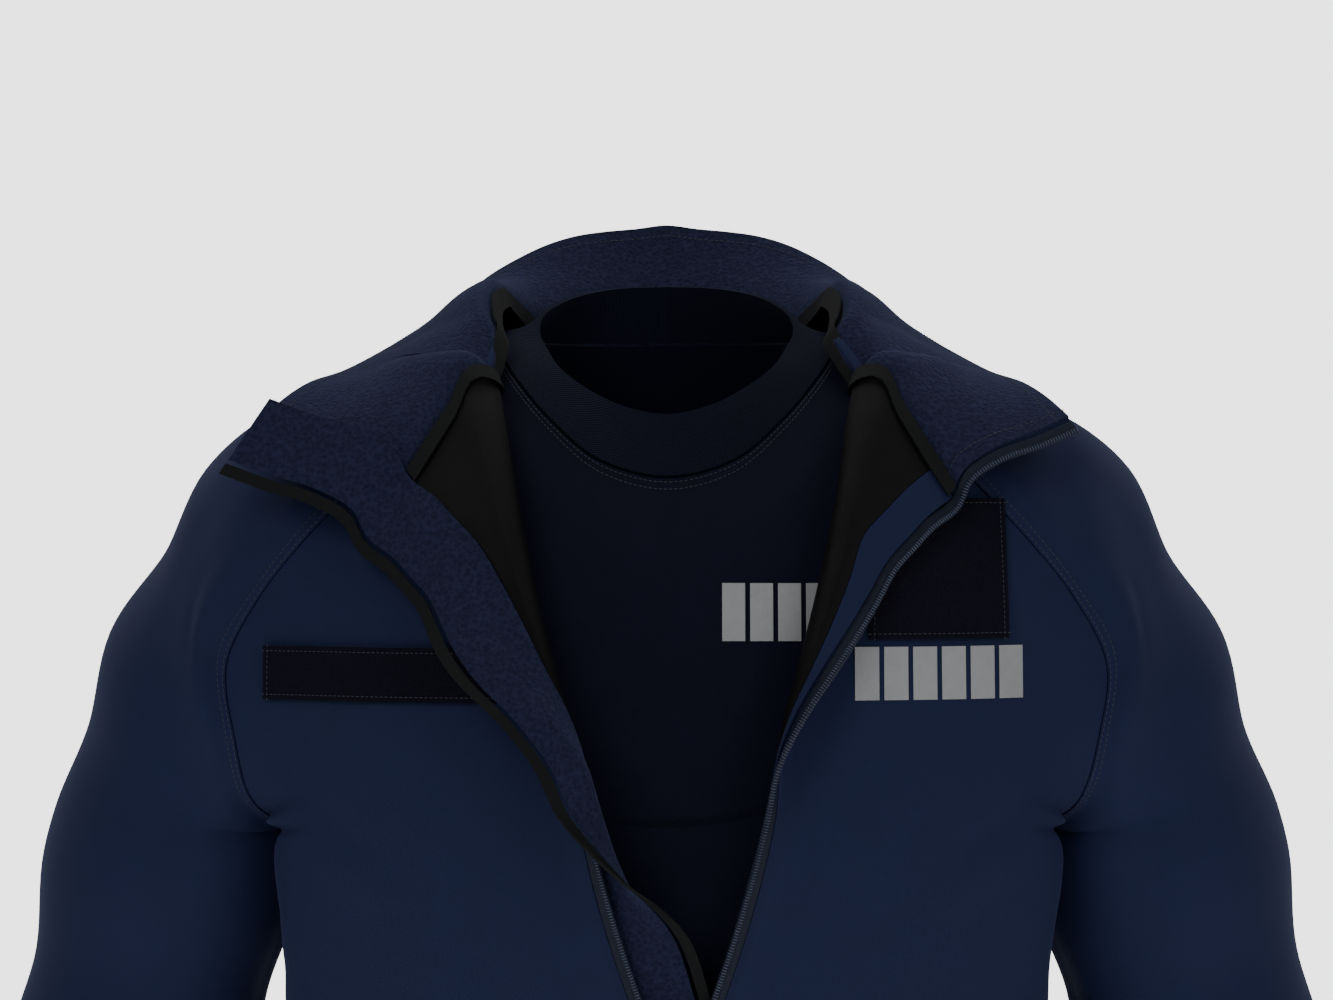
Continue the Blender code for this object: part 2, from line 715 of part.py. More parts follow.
def unit(vector):
    """The vector at length 1."""
    return vector / np.linalg.norm(vector)


def swept(field, centre, start, middle, end, count, spread):
    """count + 1 points on the field from start past middle to end, as seen from the centre.

    The quarter points lie further back, or to the front, by the spread.
    """
    first, half, last = unit(start - centre), unit(middle - centre), unit(end - centre)
    front = unit(first + half + spread * (1, -1, 1))
    back = unit(half + last + spread)
    stops = [first, front, half, back, last]
    directions = []
    for a, b in zip(stops, stops[1:]):
        angle = math.acos(float(np.clip(a @ b, -1, 1)))
        for t in np.arange(8) / 8:
            directions.append((a * math.sin((1 - t) * angle) + b * math.sin(t * angle)) / math.sin(angle))
    line = evenly(cast(field, centre, np.array(directions + [last]), 0.085), count)
    share = np.linspace(0, 1, count + 1)[:, None]
    return line + (start - line[0]) * ramp(1 - share, 0.7, 1) + (end - line[-1]) * ramp(share, 0.7, 1)


def sleeve_grid(front, back):
    """The sleeve of the wearer's left, and its normals. From the underarm down it is a tube."""
    joints, rows, normals = points_of(ARM), [], []
    shoulder = spline(np.linspace(0, 1, RAGLAN_ROWS + 1), [0, 0.3, 0.6, 0.8, 1.0], np.array(
        [(0.084, 0.010, 0.010), (0.150, 0.006, -0.03), (0.230, 0.0, -0.08), (0.290, 0.0, -0.16), (0.325, 0.0, -0.25)]
    ))
    shoulder = settle(jacket, shoulder, 12)
    for k in range(RAGLAN_ROWS + 1):
        centre = shoulder[k] - normals_of(jacket, shoulder[k:k + 1])[0] * (0.045 + 0.022 * k / RAGLAN_ROWS)
        done = k / RAGLAN_ROWS
        spread = np.array([0, 0.1 + 0.9 * done**2, -0.6 * done**8])
        row = swept(jacket, centre, front[0][k], shoulder[k], back[0][k], SLEEVE_COLUMNS, spread)
        away = normals_of(jacket, row)
        away[0], away[-1] = front[1][k], back[1][k]
        rows.append(row)
        normals.append(away)
    knots = lengths(joints[3:])
    begin = knots[1] * 1.14
    for t in np.linspace(begin, knots[-1], SLEEVE_ROWS + 1):
        centre = spline(np.array(t), knots, joints[3:])
        run = unit(spline(np.array(min(t + 0.01, knots[-1])), knots, joints[3:])
                   - spline(np.array(t - 0.01), knots, joints[3:]))
        forward = unit(np.cross(run, (1, 0, 0)))
        outward = unit(np.cross(forward, run))
        forward, outward = -forward * np.sign(forward[1]), outward * np.sign(outward[0])
        angles = np.linspace(0, 2 * math.pi, SLEEVE_COLUMNS + 1)[:, None]
        row = cast(jacket_sleeve, centre, -outward * np.cos(angles) + forward * np.sin(angles))
        row[-1] = row[0]
        rows.append(row)
        normals.append(normals_of(jacket_sleeve, row))
    return np.array(rows), np.array(normals)


# ---------------------------------------------------------------- materials


def cloth(name, colour, roughness, metallic=0.0):
    """A plain material."""
    material = bpy.data.materials.new(name)
    material.use_nodes = True
    shader = material.node_tree.nodes["Principled BSDF"]
    shader.inputs["Base Color"].default_value = (*colour, 1)
    shader.inputs["Roughness"].default_value = roughness
    shader.inputs["Metallic"].default_value = metallic
    material.diffuse_color = (*colour, 1)
    return material


SOFTSHELL_NAVY = (0.012, 0.020, 0.048)
FLEECE_NAVY = (0.022, 0.027, 0.062)
LINING_BROWN = (0.006, 0.005, 0.005)
BINDING_BLACK = (0.006, 0.007, 0.008)
LOOP_BLACK = (0.006, 0.006, 0.011)
JERSEY_NAVY = (0.006, 0.009, 0.020)
ZIP_NAVY = (0.008, 0.010, 0.022)
SLIDER_GREY = (0.05, 0.05, 0.055)


def shell(name):
    """The softshell's material, one for each piece."""
    return cloth(name, SOFTSHELL_NAVY, 0.75)


# ---------------------------------------------------------------- building


def build_jacket():
    """The fronts, the back and the sleeves, with the grids that the other pieces start from."""
    crotch = underarm()
    front_seam, back_seam = raglan_seam(RAGLAN_FRONT, crotch), raglan_seam(RAGLAN_BACK, crotch)
    side_line = side_seam(crotch)
    trim = SEAM_TRIM

    fronts = {}
    for side, name in ((1, "jacket_front_left"), (-1, "jacket_front_right")):
        outer, inner = front_grids(side, front_seam, side_line)
        fronts[side] = (outer, inner)
        wall(name, drawn_in(outer, last_column=trim, first_row=trim),
             drawn_in(inner, last_column=trim, first_row=trim), shell(name + "_cloth"))
    back, back_normals = back_grid(back_seam, side_line)
    sheet("jacket_back", drawn_in(back, first_row=trim, first_column=trim, last_column=trim), back_normals,
          -SHELL, 0, shell("jacket_back_cloth"))
    sleeve, sleeve_normals = sleeve_grid(front_seam, back_seam)
    for side, name in ((1, "jacket_sleeve_left"), (-1, "jacket_sleeve_right")):
        grid = sleeve.copy()
        top = drawn_in(grid[:RAGLAN_ROWS], first_row=NECK_TRIM, first_column=trim, last_column=trim)
        grid[:RAGLAN_ROWS] = top
        grid[RAGLAN_ROWS, 0] = grid[RAGLAN_ROWS, -1] = sleeve[RAGLAN_ROWS, 0] + (0.3 * MM, 0, -0.2 * MM)
        sheet(name, mirrored(grid, side), mirrored(sleeve_normals, side), -SHELL, 0, shell(name + "_cloth"),
              RAGLAN_ROWS)
    return fronts, back, back_normals, sleeve, sleeve_normals


def neckline(panels, row=0):
    """The neck seam, or a row below it, and its normals: from the right front round to the left front."""
    fronts, back, back_normals, sleeve, sleeve_normals = panels
    lines, normals = {}, {}
    for side in (1, -1):
        outer, inner = fronts[side]
        half = BACK_COLUMNS // 2
        line = [outer[row], mirrored(sleeve[row, 1:], side), mirrored(back[row, half:-1][::-1], side)]
        facing = [(outer[row] - inner[row]) / SHELL, mirrored(sleeve_normals[row, 1:], side),
                  mirrored(back_normals[row, half:-1][::-1], side)]
        lines[side], normals[side] = np.concatenate(line), np.concatenate(facing)
    return (np.concatenate([each[-1], each[1][::-1][1:]]) for each in (lines, normals))


def past_crest(count, columns):
    """For each column of the neck seam, 0 on the part turned back in front and 1 from here past the fold."""
    crest = LAPEL_COLUMNS + FOLD_COLUMNS // 2
    half = ramp(np.arange(count // 2 + 1), crest, crest + columns)
    return np.concatenate([half, half[::-1][1:]])[:, None]


def collar_grid(line, facing):
    """The collar from the neck seam to its top edge. It stands at the back and lies open in front."""
    half = len(line) // 2
    along = lengths(line[:half + 1]) / lengths(line[:half + 1])[-1]
    knots = lengths(points_of(COLLAR_TOP))
    top = spline(along * knots[-1], knots, points_of(COLLAR_TOP))
    top = np.concatenate([mirrored(top, -1), top[::-1][1:]])
    standing = past_crest(len(line), FOLD_COLUMNS // 2 + CHEST_COLUMNS)
    rolled = past_crest(len(line), FOLD_COLUMNS)
    away = line * np.array([1, 1, 0]) / np.linalg.norm(line[:, :2], axis=-1, keepdims=True)
    base = line + facing * standing * 0.5 * MM
    rows = []
    for share, rise, clearance in zip(COLLAR["share"], COLLAR["rise"], COLLAR["clearance"]):
        row = line * (1 - share) + top * share + np.array([0, 0, rise])
        rows.append(kept_off(jacket, row, clearance) if share else base)
    grid = np.array(rows)
    normals = grid_normals(grid)
    if (normals[1] * facing)[:LAPEL_COLUMNS].sum() < 0:
        normals = -normals
    normals[0] = facing * (1 - standing) + away * standing
    normals[1] = normals[1] + (0.6 * away - np.array([0, 0, 0.8])) * rolled
    return grid, normals / np.linalg.norm(normals, axis=-1, keepdims=True)


def build_binding(panels, collar, collar_normals):
    """The tape over the neck seam. Past the fold it lies on the inside of the collar alone."""
    seam, facing = neckline(panels)
    below, below_facing = neckline(panels, 1)
    behind = past_crest(len(seam), FOLD_COLUMNS // 2)
    rows, normals = [], []
    for start, start_facing, end, end_facing, reach in (
        (collar[0], collar_normals[0], collar[1], collar_normals[1], BINDING_HALF * (1 + 0.4 * behind)),
        (seam, facing, below, below_facing, BINDING_HALF * (1 - behind)),
    ):
        run = end - start
        share = reach / np.linalg.norm(run, axis=-1, keepdims=True)
        rows.append(start + run * share)
        normals.append(start_facing * (1 - share) + end_facing * share)
    rows[1] = rows[1] - (rows[0] - rows[1]) * BINDING_HANG * behind
    normals[1] = normals[1] * (1 - behind) + collar_normals[0] * behind
    normals = np.array(normals)
    normals /= np.linalg.norm(normals, axis=-1, keepdims=True)
    high = -(SHELL + LAYER_GAP + FLEECE + 3 * GAP)
    grid = drawn_in(np.array(rows), first_column=FLAP_FACING + 1 * MM, last_column=1 * MM)
    sheet("collar_binding", grid, normals, high - BINDING, high, cloth("binding", BINDING_BLACK, 0.8))


def above_front(side, grid, collar_edge, anchor):
    """The rows of a piece along the front edge, and more rows that carry it up the collar's front."""
    return np.concatenate([grid[:1] + (collar_edge[1:][::-1] - anchor)[:, None], grid])


def build_edges(collar):
    """The zip's two tapes, the facings and linings beside them, and the flap."""
    heights = edge_heights()
    opened = heights[heights > SLIDER_Z - 1e-6]
    lined = heights[heights > LINED_TO]
    inner_layer = SHELL + LAYER_GAP
    for side, word in ((1, "left"), (-1, "right")):
        edge = collar[:, -1 if side > 0 else 0]

        def columns(z):
            tape = tape_width(z)
            return np.array([-0.3 * MM, -(tape - COIL_WIDTH), -(tape - COIL_WIDTH) - 0.2 * MM, -tape + 0.2 * MM, -tape])

        anchor = edge_grid(heights[:1], side, lambda z: np.array([0.0]), 0)[0, 0]
        half = np.array([0.45, 0.45, 1.2, 1.2, 0.6]) * MM
        sides = [edge_grid(heights, side, columns, -SHELL / 2 + sign * half) for sign in (1, -1)]
        outer, inner = (above_front(side, grid, edge, anchor) for grid in sides)
        wall("zip_" + word, outer, inner, cloth("zip_" + word + "_tape", ZIP_NAVY, 0.5))

        width = FACING_WIDTH if side > 0 else FLAP_FACING

        def lining_columns(z):
            lapel = edge_row(z)[1]
            flat = np.linspace(facing_width(z, width) + 0.3 * MM, lapel, 3)[:-1]
            fold = lapel + FOLD_ARC * np.linspace(0, 1, FOLD_COLUMNS + 1)
            return np.concatenate([flat, fold, lapel + FOLD_ARC + np.array([7, 14]) * MM])

        sides = [edge_grid(lined, side, lining_columns, -inner_layer - depth) for depth in (0, LINING)]
        outer, inner = (drawn_in(grid, first_row=1 * MM) for grid in sides)
        wall("lining_" + word, outer, inner, cloth("lining_" + word + "_cloth", LINING_BROWN, 0.45))

    def facing_columns(z):
        return np.linspace(0.3 * MM, facing_width(z, FACING_WIDTH), 3)

    sides = [edge_grid(lined, 1, facing_columns, -inner_layer - depth) for depth in (0, LINING)]
    outer, inner = (drawn_in(grid, first_row=1 * MM) for grid in sides)
    wall("facing_left", outer, inner, shell("facing_left_cloth"))

    edge = collar[:, 0]
    anchor = edge_grid(heights[:1], -1, lambda z: np.array([0.0]), 0)[0, 0]
    width = FLAP_FACING + FLAP_WIDTH
    for name, distances, thickness, material in (
        ("wind_flap", np.linspace(0, width, 5), FLEECE, cloth("flap_fleece", FLEECE_NAVY, 0.95)),
        ("wind_flap_binding", np.array([width + 2.2 * MM, width + FLAP_BINDING]), FLEECE + 0.7 * MM,
         cloth("flap_binding", BINDING_BLACK, 0.8)),
    ):
        sides = [flap_grid(opened, -1, distances, sign * thickness / 2) for sign in (1, -1)]
        outer, inner = (above_front(-1, grid, edge, anchor) for grid in sides)
        rows = len(edge) - 1
        for k in range(rows):
            lift = kept_off(jacket, (outer[k] + inner[k]) / 2, 4 * MM) - (outer[k] + inner[k]) / 2
            outer[k] += lift
            inner[k] += lift
        wall(name, outer, inner, material)


def build_slider():
    """The zip's slider and its pull tab, which hangs from the slider's bridge."""
    front = on_front(jacket, np.array([ZIP_X]), np.array([SLIDER_Z]))[0]
    origin = np.array([ZIP_X, front[1] + SHELL / 2, SLIDER_Z])
    xs = (-4, -1.1, 1.1, 4)
    ys = (-7.5, -6.1, -3.7, -2.1, 2.1, 3.0)
    zs = (-8.5, -2.5, -0.5, 3.5, 4.5, 6.0, 8.0)
    filled = {(i, 2, k) for i in range(3) for k in range(6)} | {(i, 4, k) for i in range(3) for k in range(6)}
    filled |= {(1, 3, 5)}
    filled |= {(1, 0, k) for k in (1, 2, 3)} | {(1, 1, 1), (1, 1, 3)}
    blocks("zip_slider", xs, ys, zs, filled, origin, cloth("slider", SLIDER_GREY, 0.4, 0.6))
    pivot = origin + np.array([0, -4.9, 1.5]) * MM
    xs, ys, zs = (-3.6, -2.0, 2.0, 3.6), (-0.6, 0.6), (-30, -9, -6.4, -0.6, 0.6)
    filled = {(i, 0, 0) for i in range(3)} | {(i, 0, 1) for i in range(3)} | {(0, 0, 2), (2, 0, 2)}
    filled |= {(i, 0, 3) for i in range(3)}
    blocks("zip_pull", xs, ys, zs, filled, pivot, cloth("pull", SLIDER_GREY, 0.4, 0.6))
    return pivot


def build_patch(name, centre_x, centre_z, width, height, columns, rows):
    """A rectangle of loop tape sewn on the chest, given by its middle and size as seen from the front."""
    x = centre_x + width * (np.linspace(-0.5, 0.5, columns + 1))[None, :] + np.zeros((rows + 1, 1))
    z = centre_z - height * (np.linspace(-0.5, 0.5, rows + 1))[:, None] + np.zeros((1, columns + 1))
    grid = on_front(jacket, x, z)
    tape = cloth(name + "_cloth", LOOP_BLACK, 0.95)
    sheet(name, grid, normals_of(jacket, grid), 1.0 * MM, 1.0 * MM + LOOP_TAPE, tape)


def coons(top, bottom, left, right):
    """A grid filled in between four edges that meet at their ends."""
    u = np.linspace(0, 1, len(top))[None, :, None]
    v = np.linspace(0, 1, len(left))[:, None, None]
    grid = (1 - v) * top[None] + v * bottom[None] + (1 - u) * left[:, None] + u * right[:, None]
    corners = (1 - u) * (1 - v) * top[0] + u * (1 - v) * top[-1] + (1 - u) * v * bottom[0] + u * v * bottom[-1]
    return grid - corners


def build_tshirt():
    """The T-shirt's front, back, sleeves and neck rib."""
    jersey = cloth("jersey", JERSEY_NAVY, 0.9)
    neck = points_of(TSHIRT_NECK)
    neck = settle(tshirt, neck, 12)
    tip = settle(tshirt, np.array([TSHIRT_SHOULDER]), 12)[0]
    low, high = -0.29, -0.19
    for _ in range(24):
        middle = (low + high) / 2
        inside = tshirt(np.array([[UNDERARM[0], UNDERARM[1], middle]]))[0] < 0
        low, high = (low, middle) if inside else (middle, high)
    crotch = np.array([UNDERARM[0], UNDERARM[1], low])
    loop, sides = {}, {}
    for sign in (-1, 1):
        hole = np.array([tip, (0.178, sign * 0.048, -0.125), (0.186, sign * 0.060, -0.165),
                         (0.190, sign * 0.050, -0.215), crotch])
        hole = smooth_line(hole, 5)
        hole[1:-1] = settle(tshirt, hole[1:-1], 12)
        loop[sign] = hole
    z = np.linspace(crotch[2], TSHIRT_HEM_Z, 6)[1:]
    low, high = np.full(z.shape, 0.08), np.full(z.shape, 0.30)
    for _ in range(24):
        middle = (low + high) / 2
        at = np.stack([middle, TSHIRT_SIDE_Y + 0 * z, z], axis=-1)
        inside = (torso(at) < -TSHIRT_OFFSET) & (arm(at) > TSHIRT_CLEARANCE)
        low, high = np.where(inside, middle, low), np.where(inside, high, middle)
    side = np.stack([low, TSHIRT_SIDE_Y + 0 * z, z], axis=-1)
    halves = {}
    split = int(np.argmin(np.abs(neck[:, 1] - 0.0) + 10 * (neck[:, 0] < 0.06)))
    for sign, name in ((-1, "tshirt_front"), (1, "tshirt_back")):
        half = neck[:split + 1] if sign < 0 else neck[split:][::-1]
        half = evenly(half, 5)
        halves[sign] = half
        seam = lay(tshirt, neck[split][None], tip[None], 2)[0]
        top = np.concatenate([half, seam[1:]])
        top = np.concatenate([mirrored(top, -1)[::-1], top[1:]])
        edge = np.concatenate([loop[sign], side])
        hem_z = side[-1, 2]
        across = np.linspace(-1, 1, len(top))
        bottom = np.stack([edge[-1, 0] * np.sin(across * math.pi / 2), sign * 0.10 * np.cos(across * math.pi / 2),
                           hem_z + 0 * across], axis=-1)
        bottom[0], bottom[-1] = mirrored(edge[-1], -1), edge[-1]
        grid = coons(top, bottom, mirrored(edge, -1), edge)
        bow = np.sin(np.linspace(0, math.pi, len(top)))[None, :]
        bow = bow * np.sin(np.linspace(0, math.pi / 2, len(edge)))[:, None]
        grid[..., 1] += sign * 0.05 * bow
        grid[1:, 1:-1] = settle(tshirt_torso, grid[1:, 1:-1], 14)
        normals = normals_of(tshirt_torso, grid)
        grid = drawn_in(grid, first_row=0.2 * MM, first_column=0.2 * MM, last_column=0.2 * MM)
        sheet(name, grid, normals, -JERSEY, 0, jersey.copy())
    ring = np.concatenate([loop[-1][::-1], loop[1][1:]])
    count = len(ring) - 1
    joints = points_of(ARM)
    centre = joints[4] + (joints[3] - joints[4]) * 0.05
    run = unit(joints[4] - joints[3])
    forward = unit(np.cross(run, (1, 0, 0)))
    outward = unit(np.cross(forward, run))
    forward, outward = -forward * np.sign(forward[1]), outward * np.sign(outward[0])
    angles = np.linspace(0, 2 * math.pi, count + 1)[:, None]
    cuff = cast(tshirt_sleeve, centre, -outward * np.cos(angles) + forward * np.sin(angles))
    grid = np.array([ring * (1 - t) + cuff * t for t in np.linspace(0, 1, 5)])
    grid[1:-1] = settle(tshirt_sleeve, grid[1:-1], 10)
    grid[:, -1] = grid[:, 0]
    normals = normals_of(tshirt_sleeve, grid)
    normals[0] = normals_of(tshirt, grid[0])
    grid = drawn_in(grid, first_row=0.35 * MM)
    for side_sign, name in ((1, "tshirt_sleeve_left"), (-1, "tshirt_sleeve_right")):
        sheet(name, mirrored(grid, side_sign), mirrored(normals, side_sign), -JERSEY, 0, jersey.copy(), 0)
    seam = np.concatenate([halves[-1], halves[1][::-1][1:]])
    top = evenly(points_of(RIB_TOP), len(seam) - 1)
    seam = np.concatenate([mirrored(seam, -1)[::-1], seam[1:]])
    top = np.concatenate([mirrored(top, -1)[::-1], top[1:]])
    middle = (seam + top) / 2
    grid = np.array([seam, middle, top])
    closed = np.concatenate([grid[:, -2:-1], grid, grid[:, 1:2]], axis=1)
    normals = grid_normals(closed)[:, 1:-1]
    if (normals[:, :, 1] * grid[:, :, 1]).sum() < 0:
        normals = -normals
    grid = drawn_in(grid, first_row=1.2 * MM)
    sheet("tshirt_rib", grid, normals, -RIB / 2 - 0.3 * MM, RIB / 2 - 0.3 * MM, cloth("rib", JERSEY_NAVY, 0.9), 0)


panels = build_jacket()
neck, neck_facing = neckline(panels)
collar, collar_normals = collar_grid(neck, neck_facing)
raised = drawn_in(collar, first_row=0.3 * MM, first_column=0.5 * MM, last_column=0.5 * MM)
sheet("collar_outer", raised, collar_normals, -SHELL, 0, shell("collar_outer_cloth"))
sheet("collar_fleece", raised, collar_normals, -SHELL - GAP - FLEECE, -SHELL - GAP, cloth("fleece", FLEECE_NAVY, 0.95))
build_binding(panels, collar, collar_normals)
build_edges(collar)
build_slider()
build_patch("name_strip_loop", -0.1415, -0.178, 0.126, 0.027, 6, 2)
build_patch("badge_patch_loop", 0.1365, -0.125, 0.071, 0.070, 4, 4)
build_tshirt()
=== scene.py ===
"""The looks of a police uniform top: a softshell jacket, half unzipped with its collar laid open, over a
crew-neck T-shirt. Each piece of cloth follows the solid of its name, with finer rows and columns, soft
creases, stitching and a cloth material of its own.

Metres, +Z up. The wearer faces -Y and the wearer's left is +X.
"""

import math

import bpy
import numpy as np
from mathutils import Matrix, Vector, noise


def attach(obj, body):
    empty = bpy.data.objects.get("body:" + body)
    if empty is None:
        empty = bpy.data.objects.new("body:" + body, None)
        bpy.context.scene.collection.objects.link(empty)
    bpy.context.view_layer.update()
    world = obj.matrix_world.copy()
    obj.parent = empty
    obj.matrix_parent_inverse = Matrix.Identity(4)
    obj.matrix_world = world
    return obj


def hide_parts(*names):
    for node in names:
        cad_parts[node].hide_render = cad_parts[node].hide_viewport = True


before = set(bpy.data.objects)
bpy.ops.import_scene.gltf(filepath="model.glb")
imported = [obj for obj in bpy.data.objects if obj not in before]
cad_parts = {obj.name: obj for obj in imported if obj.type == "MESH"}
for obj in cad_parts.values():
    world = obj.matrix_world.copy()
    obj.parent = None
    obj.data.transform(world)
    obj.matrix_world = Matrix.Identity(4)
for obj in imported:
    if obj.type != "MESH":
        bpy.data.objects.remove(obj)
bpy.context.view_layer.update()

MM = 0.001

# Cloth thicknesses, and the gap that keeps two pieces apart.
SHELL = 1.8 * MM
FLEECE = 1.5 * MM
LINING = 1.0 * MM
BINDING = 1.0 * MM
JERSEY = 1.2 * MM
RIB = 2.0 * MM
LOOP_TAPE = 1.6 * MM
GAP = 0.35 * MM
LAYER_GAP = 0.85 * MM

# The jacket's main lines.
ZIP_X = 0.005
HEM_Z = -0.69
SLIDER_Z = -0.385
LINED_TO = -0.32
NECK_FRONT = (0.089, -0.045, -0.007)
NECK_BACK = (0.072, 0.066, -0.002)
UNDERARM = (0.184, 0.004, -0.258)
ARMPIT_LOW, ARMPIT_HIGH = -0.270, -0.205
ARM_CLEARANCE, OVERLAP, PANEL_TURNS_IN = 8 * MM, 60 * MM, -0.25
LEVEL_ROWS = (-0.18, -0.10)

# The front edge, the zip and the flap behind it.
FOLD_ARC = 11 * MM
TAPE_OPEN, TAPE_CLOSED = 7 * MM, 4.7 * MM
SEAM_TRIM = 0.35 * MM
NECK_TRIM = 0.4 * MM
FACING_WIDTH = 17 * MM
FLAP_FACING, FLAP_WIDTH, FLAP_BINDING = 10 * MM, 25 * MM, 8 * MM
FLAP_ARC = 14 * MM
COIL_WIDTH = 3 * MM
FLAP_DEPTH = SHELL + 2.5 * LAYER_GAP + LINING + FLEECE
BINDING_HALF, BINDING_HANG = 4.2 * MM, 0.6
TSHIRT_HEM_Z = -0.64
TSHIRT_SHOULDER = (0.162, 0.004, -0.085)
TSHIRT_SIDE_Y = 0.004

# Rows and columns of the cloth walls.
RAGLAN_ROWS, V_ROWS, BODY_ROWS = 10, 3, 4
LAPEL_COLUMNS, FOLD_COLUMNS, CHEST_COLUMNS = 3, 4, 6
BACK_COLUMNS, SLEEVE_COLUMNS, SLEEVE_ROWS = 10, 12, 7
# How far the T-shirt's body and sleeves lie inside the jacket's, the gap that its body keeps to the sleeves,
# and how much higher than in the jacket that gap starts.
TSHIRT_OFFSET, TSHIRT_ARM_OFFSET, TSHIRT_CLEARANCE, TSHIRT_RAISED = 16 * MM, 10 * MM, 17 * MM, 12 * MM


def table(columns, *rows):
    """A table with named columns, as one array for each name."""
    return dict(zip(columns.split(), np.array(rows, float).T))


# Sections of the dressed torso: height, half width, depth in front and behind, squareness.
TORSO = table(
    "z width front back square",
    (0.040, 0.070, 0.050, 0.070, 2.2),
    (0.000, 0.105, 0.062, 0.082, 2.2),
    (-0.030, 0.140, 0.076, 0.096, 2.3),
    (-0.060, 0.172, 0.093, 0.108, 2.4),
    (-0.100, 0.202, 0.111, 0.118, 2.5),
    (-0.150, 0.216, 0.123, 0.125, 2.7),
    (-0.200, 0.220, 0.129, 0.127, 2.8),
    (-0.260, 0.216, 0.131, 0.125, 2.8),
    (-0.350, 0.204, 0.128, 0.116, 2.6),
    (-0.450, 0.196, 0.126, 0.110, 2.4),
    (-0.550, 0.200, 0.126, 0.116, 2.4),
    (-0.700, 0.212, 0.128, 0.128, 2.4),
)
# The sleeve's middle line, from the side of the neck to the cuff, and its radius.
ARM = table(
    "x y z radius",
    (0.075, 0.010, -0.062, 0.050),
    (0.130, 0.006, -0.083, 0.056),
    (0.186, 0.002, -0.109, 0.067),
    (0.232, 0.003, -0.190, 0.068),
    (0.262, 0.006, -0.280, 0.067),
    (0.284, 0.010, -0.380, 0.063),
    (0.298, -0.010, -0.500, 0.055),
    (0.306, -0.036, -0.618, 0.048),
)
ARM_BLEND, SHOULDER_BLEND, UNDERARM_BLEND, CARVE_BLEND = 0.03, 0.045, 0.004, 0.03
# The largest folds: middle, direction, half length, half width and height above the cloth.
FOLDS = table(
    "x y z run_x run_y run_z length width height",
    (0.205, -0.075, -0.300, -0.35, -0.10, -1.00, 0.090, 0.016, 0.006),
    (0.190, 0.085, -0.320, -0.30, 0.10, -1.00, 0.100, 0.018, 0.007),
    (0.330, 0.020, -0.350, 0.30, 1.00, 0.25, 0.060, 0.012, 0.004),
    (0.240, -0.030, -0.400, 1.00, -0.30, 0.45, 0.050, 0.012, 0.005),
    (0.300, -0.060, -0.455, 1.00, 0.00, -0.30, 0.050, 0.011, 0.004),
    (0.270, 0.050, -0.520, 1.00, 0.20, 0.30, 0.050, 0.013, 0.004),
    (0.170, 0.080, -0.560, -0.20, 0.00, -1.00, 0.090, 0.022, 0.006),
    (0.150, -0.110, -0.600, 0.25, 0.00, -1.00, 0.090, 0.020, 0.005),
)
# The heights between which the point under the arm is looked for.
UNDERARM_LOW, UNDERARM_HIGH, TSHIRT_UNDERARM_HIGH = -0.29, -0.20, -0.19
# The line over the shoulder that the sleeve's upper rows are centred on.
SHOULDER = table(
    "share x y z", (0, 0.084, 0.010, 0.010), (0.3, 0.150, 0.006, -0.03), (0.6, 0.230, 0.0, -0.08),
    (0.8, 0.290, 0.0, -0.16), (1.0, 0.325, 0.0, -0.25)
)
# The front raglan seam and the back one, seen from the front and from behind.
RAGLAN_FRONT = table(
    "x y z",
    NECK_FRONT,
    (0.130, -0.072, -0.045),
    (0.167, -0.088, -0.083),
    (0.197, -0.084, -0.121),
    (0.217, -0.070, -0.150),
    (0.226, -0.052, -0.176),
    (0.214, -0.030, -0.212),
    UNDERARM,
)
RAGLAN_BACK = table(
    "x y z",
    NECK_BACK,
    (0.108, 0.088, -0.040),
    (0.146, 0.100, -0.083),
    (0.180, 0.098, -0.124),
    (0.208, 0.084, -0.158),
    (0.222, 0.062, -0.186),
    (0.214, 0.036, -0.216),
    UNDERARM,
)
# The front edge from the neckline down: the distance of its crest from the zip line, its height, the
# length turned back, how far that part droops, and the angle through which the edge is turned.
EDGE = table(
    "crest z lapel droop turn",
    (0.0940, -0.031, 0.073, 57, 180),
    (0.0885, -0.060, 0.053, 57, 180),
    (0.0815, -0.100, 0.029, 48, 180),
    (0.0735, -0.135, 0.017, 34, 176),
    (0.0660, -0.165, 0.010, 18, 158),
    (0.0590, -0.190, 0.007, 8, 128),
    (0.0510, -0.220, 0.005, 0, 85),
    (0.0430, -0.252, 0.004, 0, 42),
    (0.0300, -0.300, 0.004, 0, 10),
    (0.0150, -0.345, 0.004, 0, 2),
    (0.0003, -0.385, 0.004, 0, 2),
    (0.0003, -0.690, 0.004, 0, 2),
)
# How far the flap turns back over the zip beside each of those rows.
FLAP_TURN = table(
    "z turn", (-0.135, 0), (-0.165, 18), (-0.190, 44), (-0.220, 80), (-0.252, 105), (-0.270, 75), (-0.300, 0),
    (-0.385, 0)
)
# The collar's top edge, from the front corner to the middle of the back.
COLLAR_TOP = table(
    "x y z",
    (0.206, -0.080, -0.050),
    (0.190, -0.040, -0.034),
    (0.170, 0.002, -0.024),
    (0.147, 0.048, -0.008),
    (0.118, 0.092, 0.014),
    (0.094, 0.113, 0.036),
    (0.064, 0.124, 0.053),
    (0.000, 0.130, 0.064),
)
# The collar's rows: share of the way to the top edge, rise above the straight line, height off the jacket.
COLLAR = table(
    "share rise clearance", (0, 0, 0), (0.1, 0.009, 0.005), (0.36, 0.010, 0.006),
    (0.7, 0.004, 0.006), (1, 0, 0.006)
)
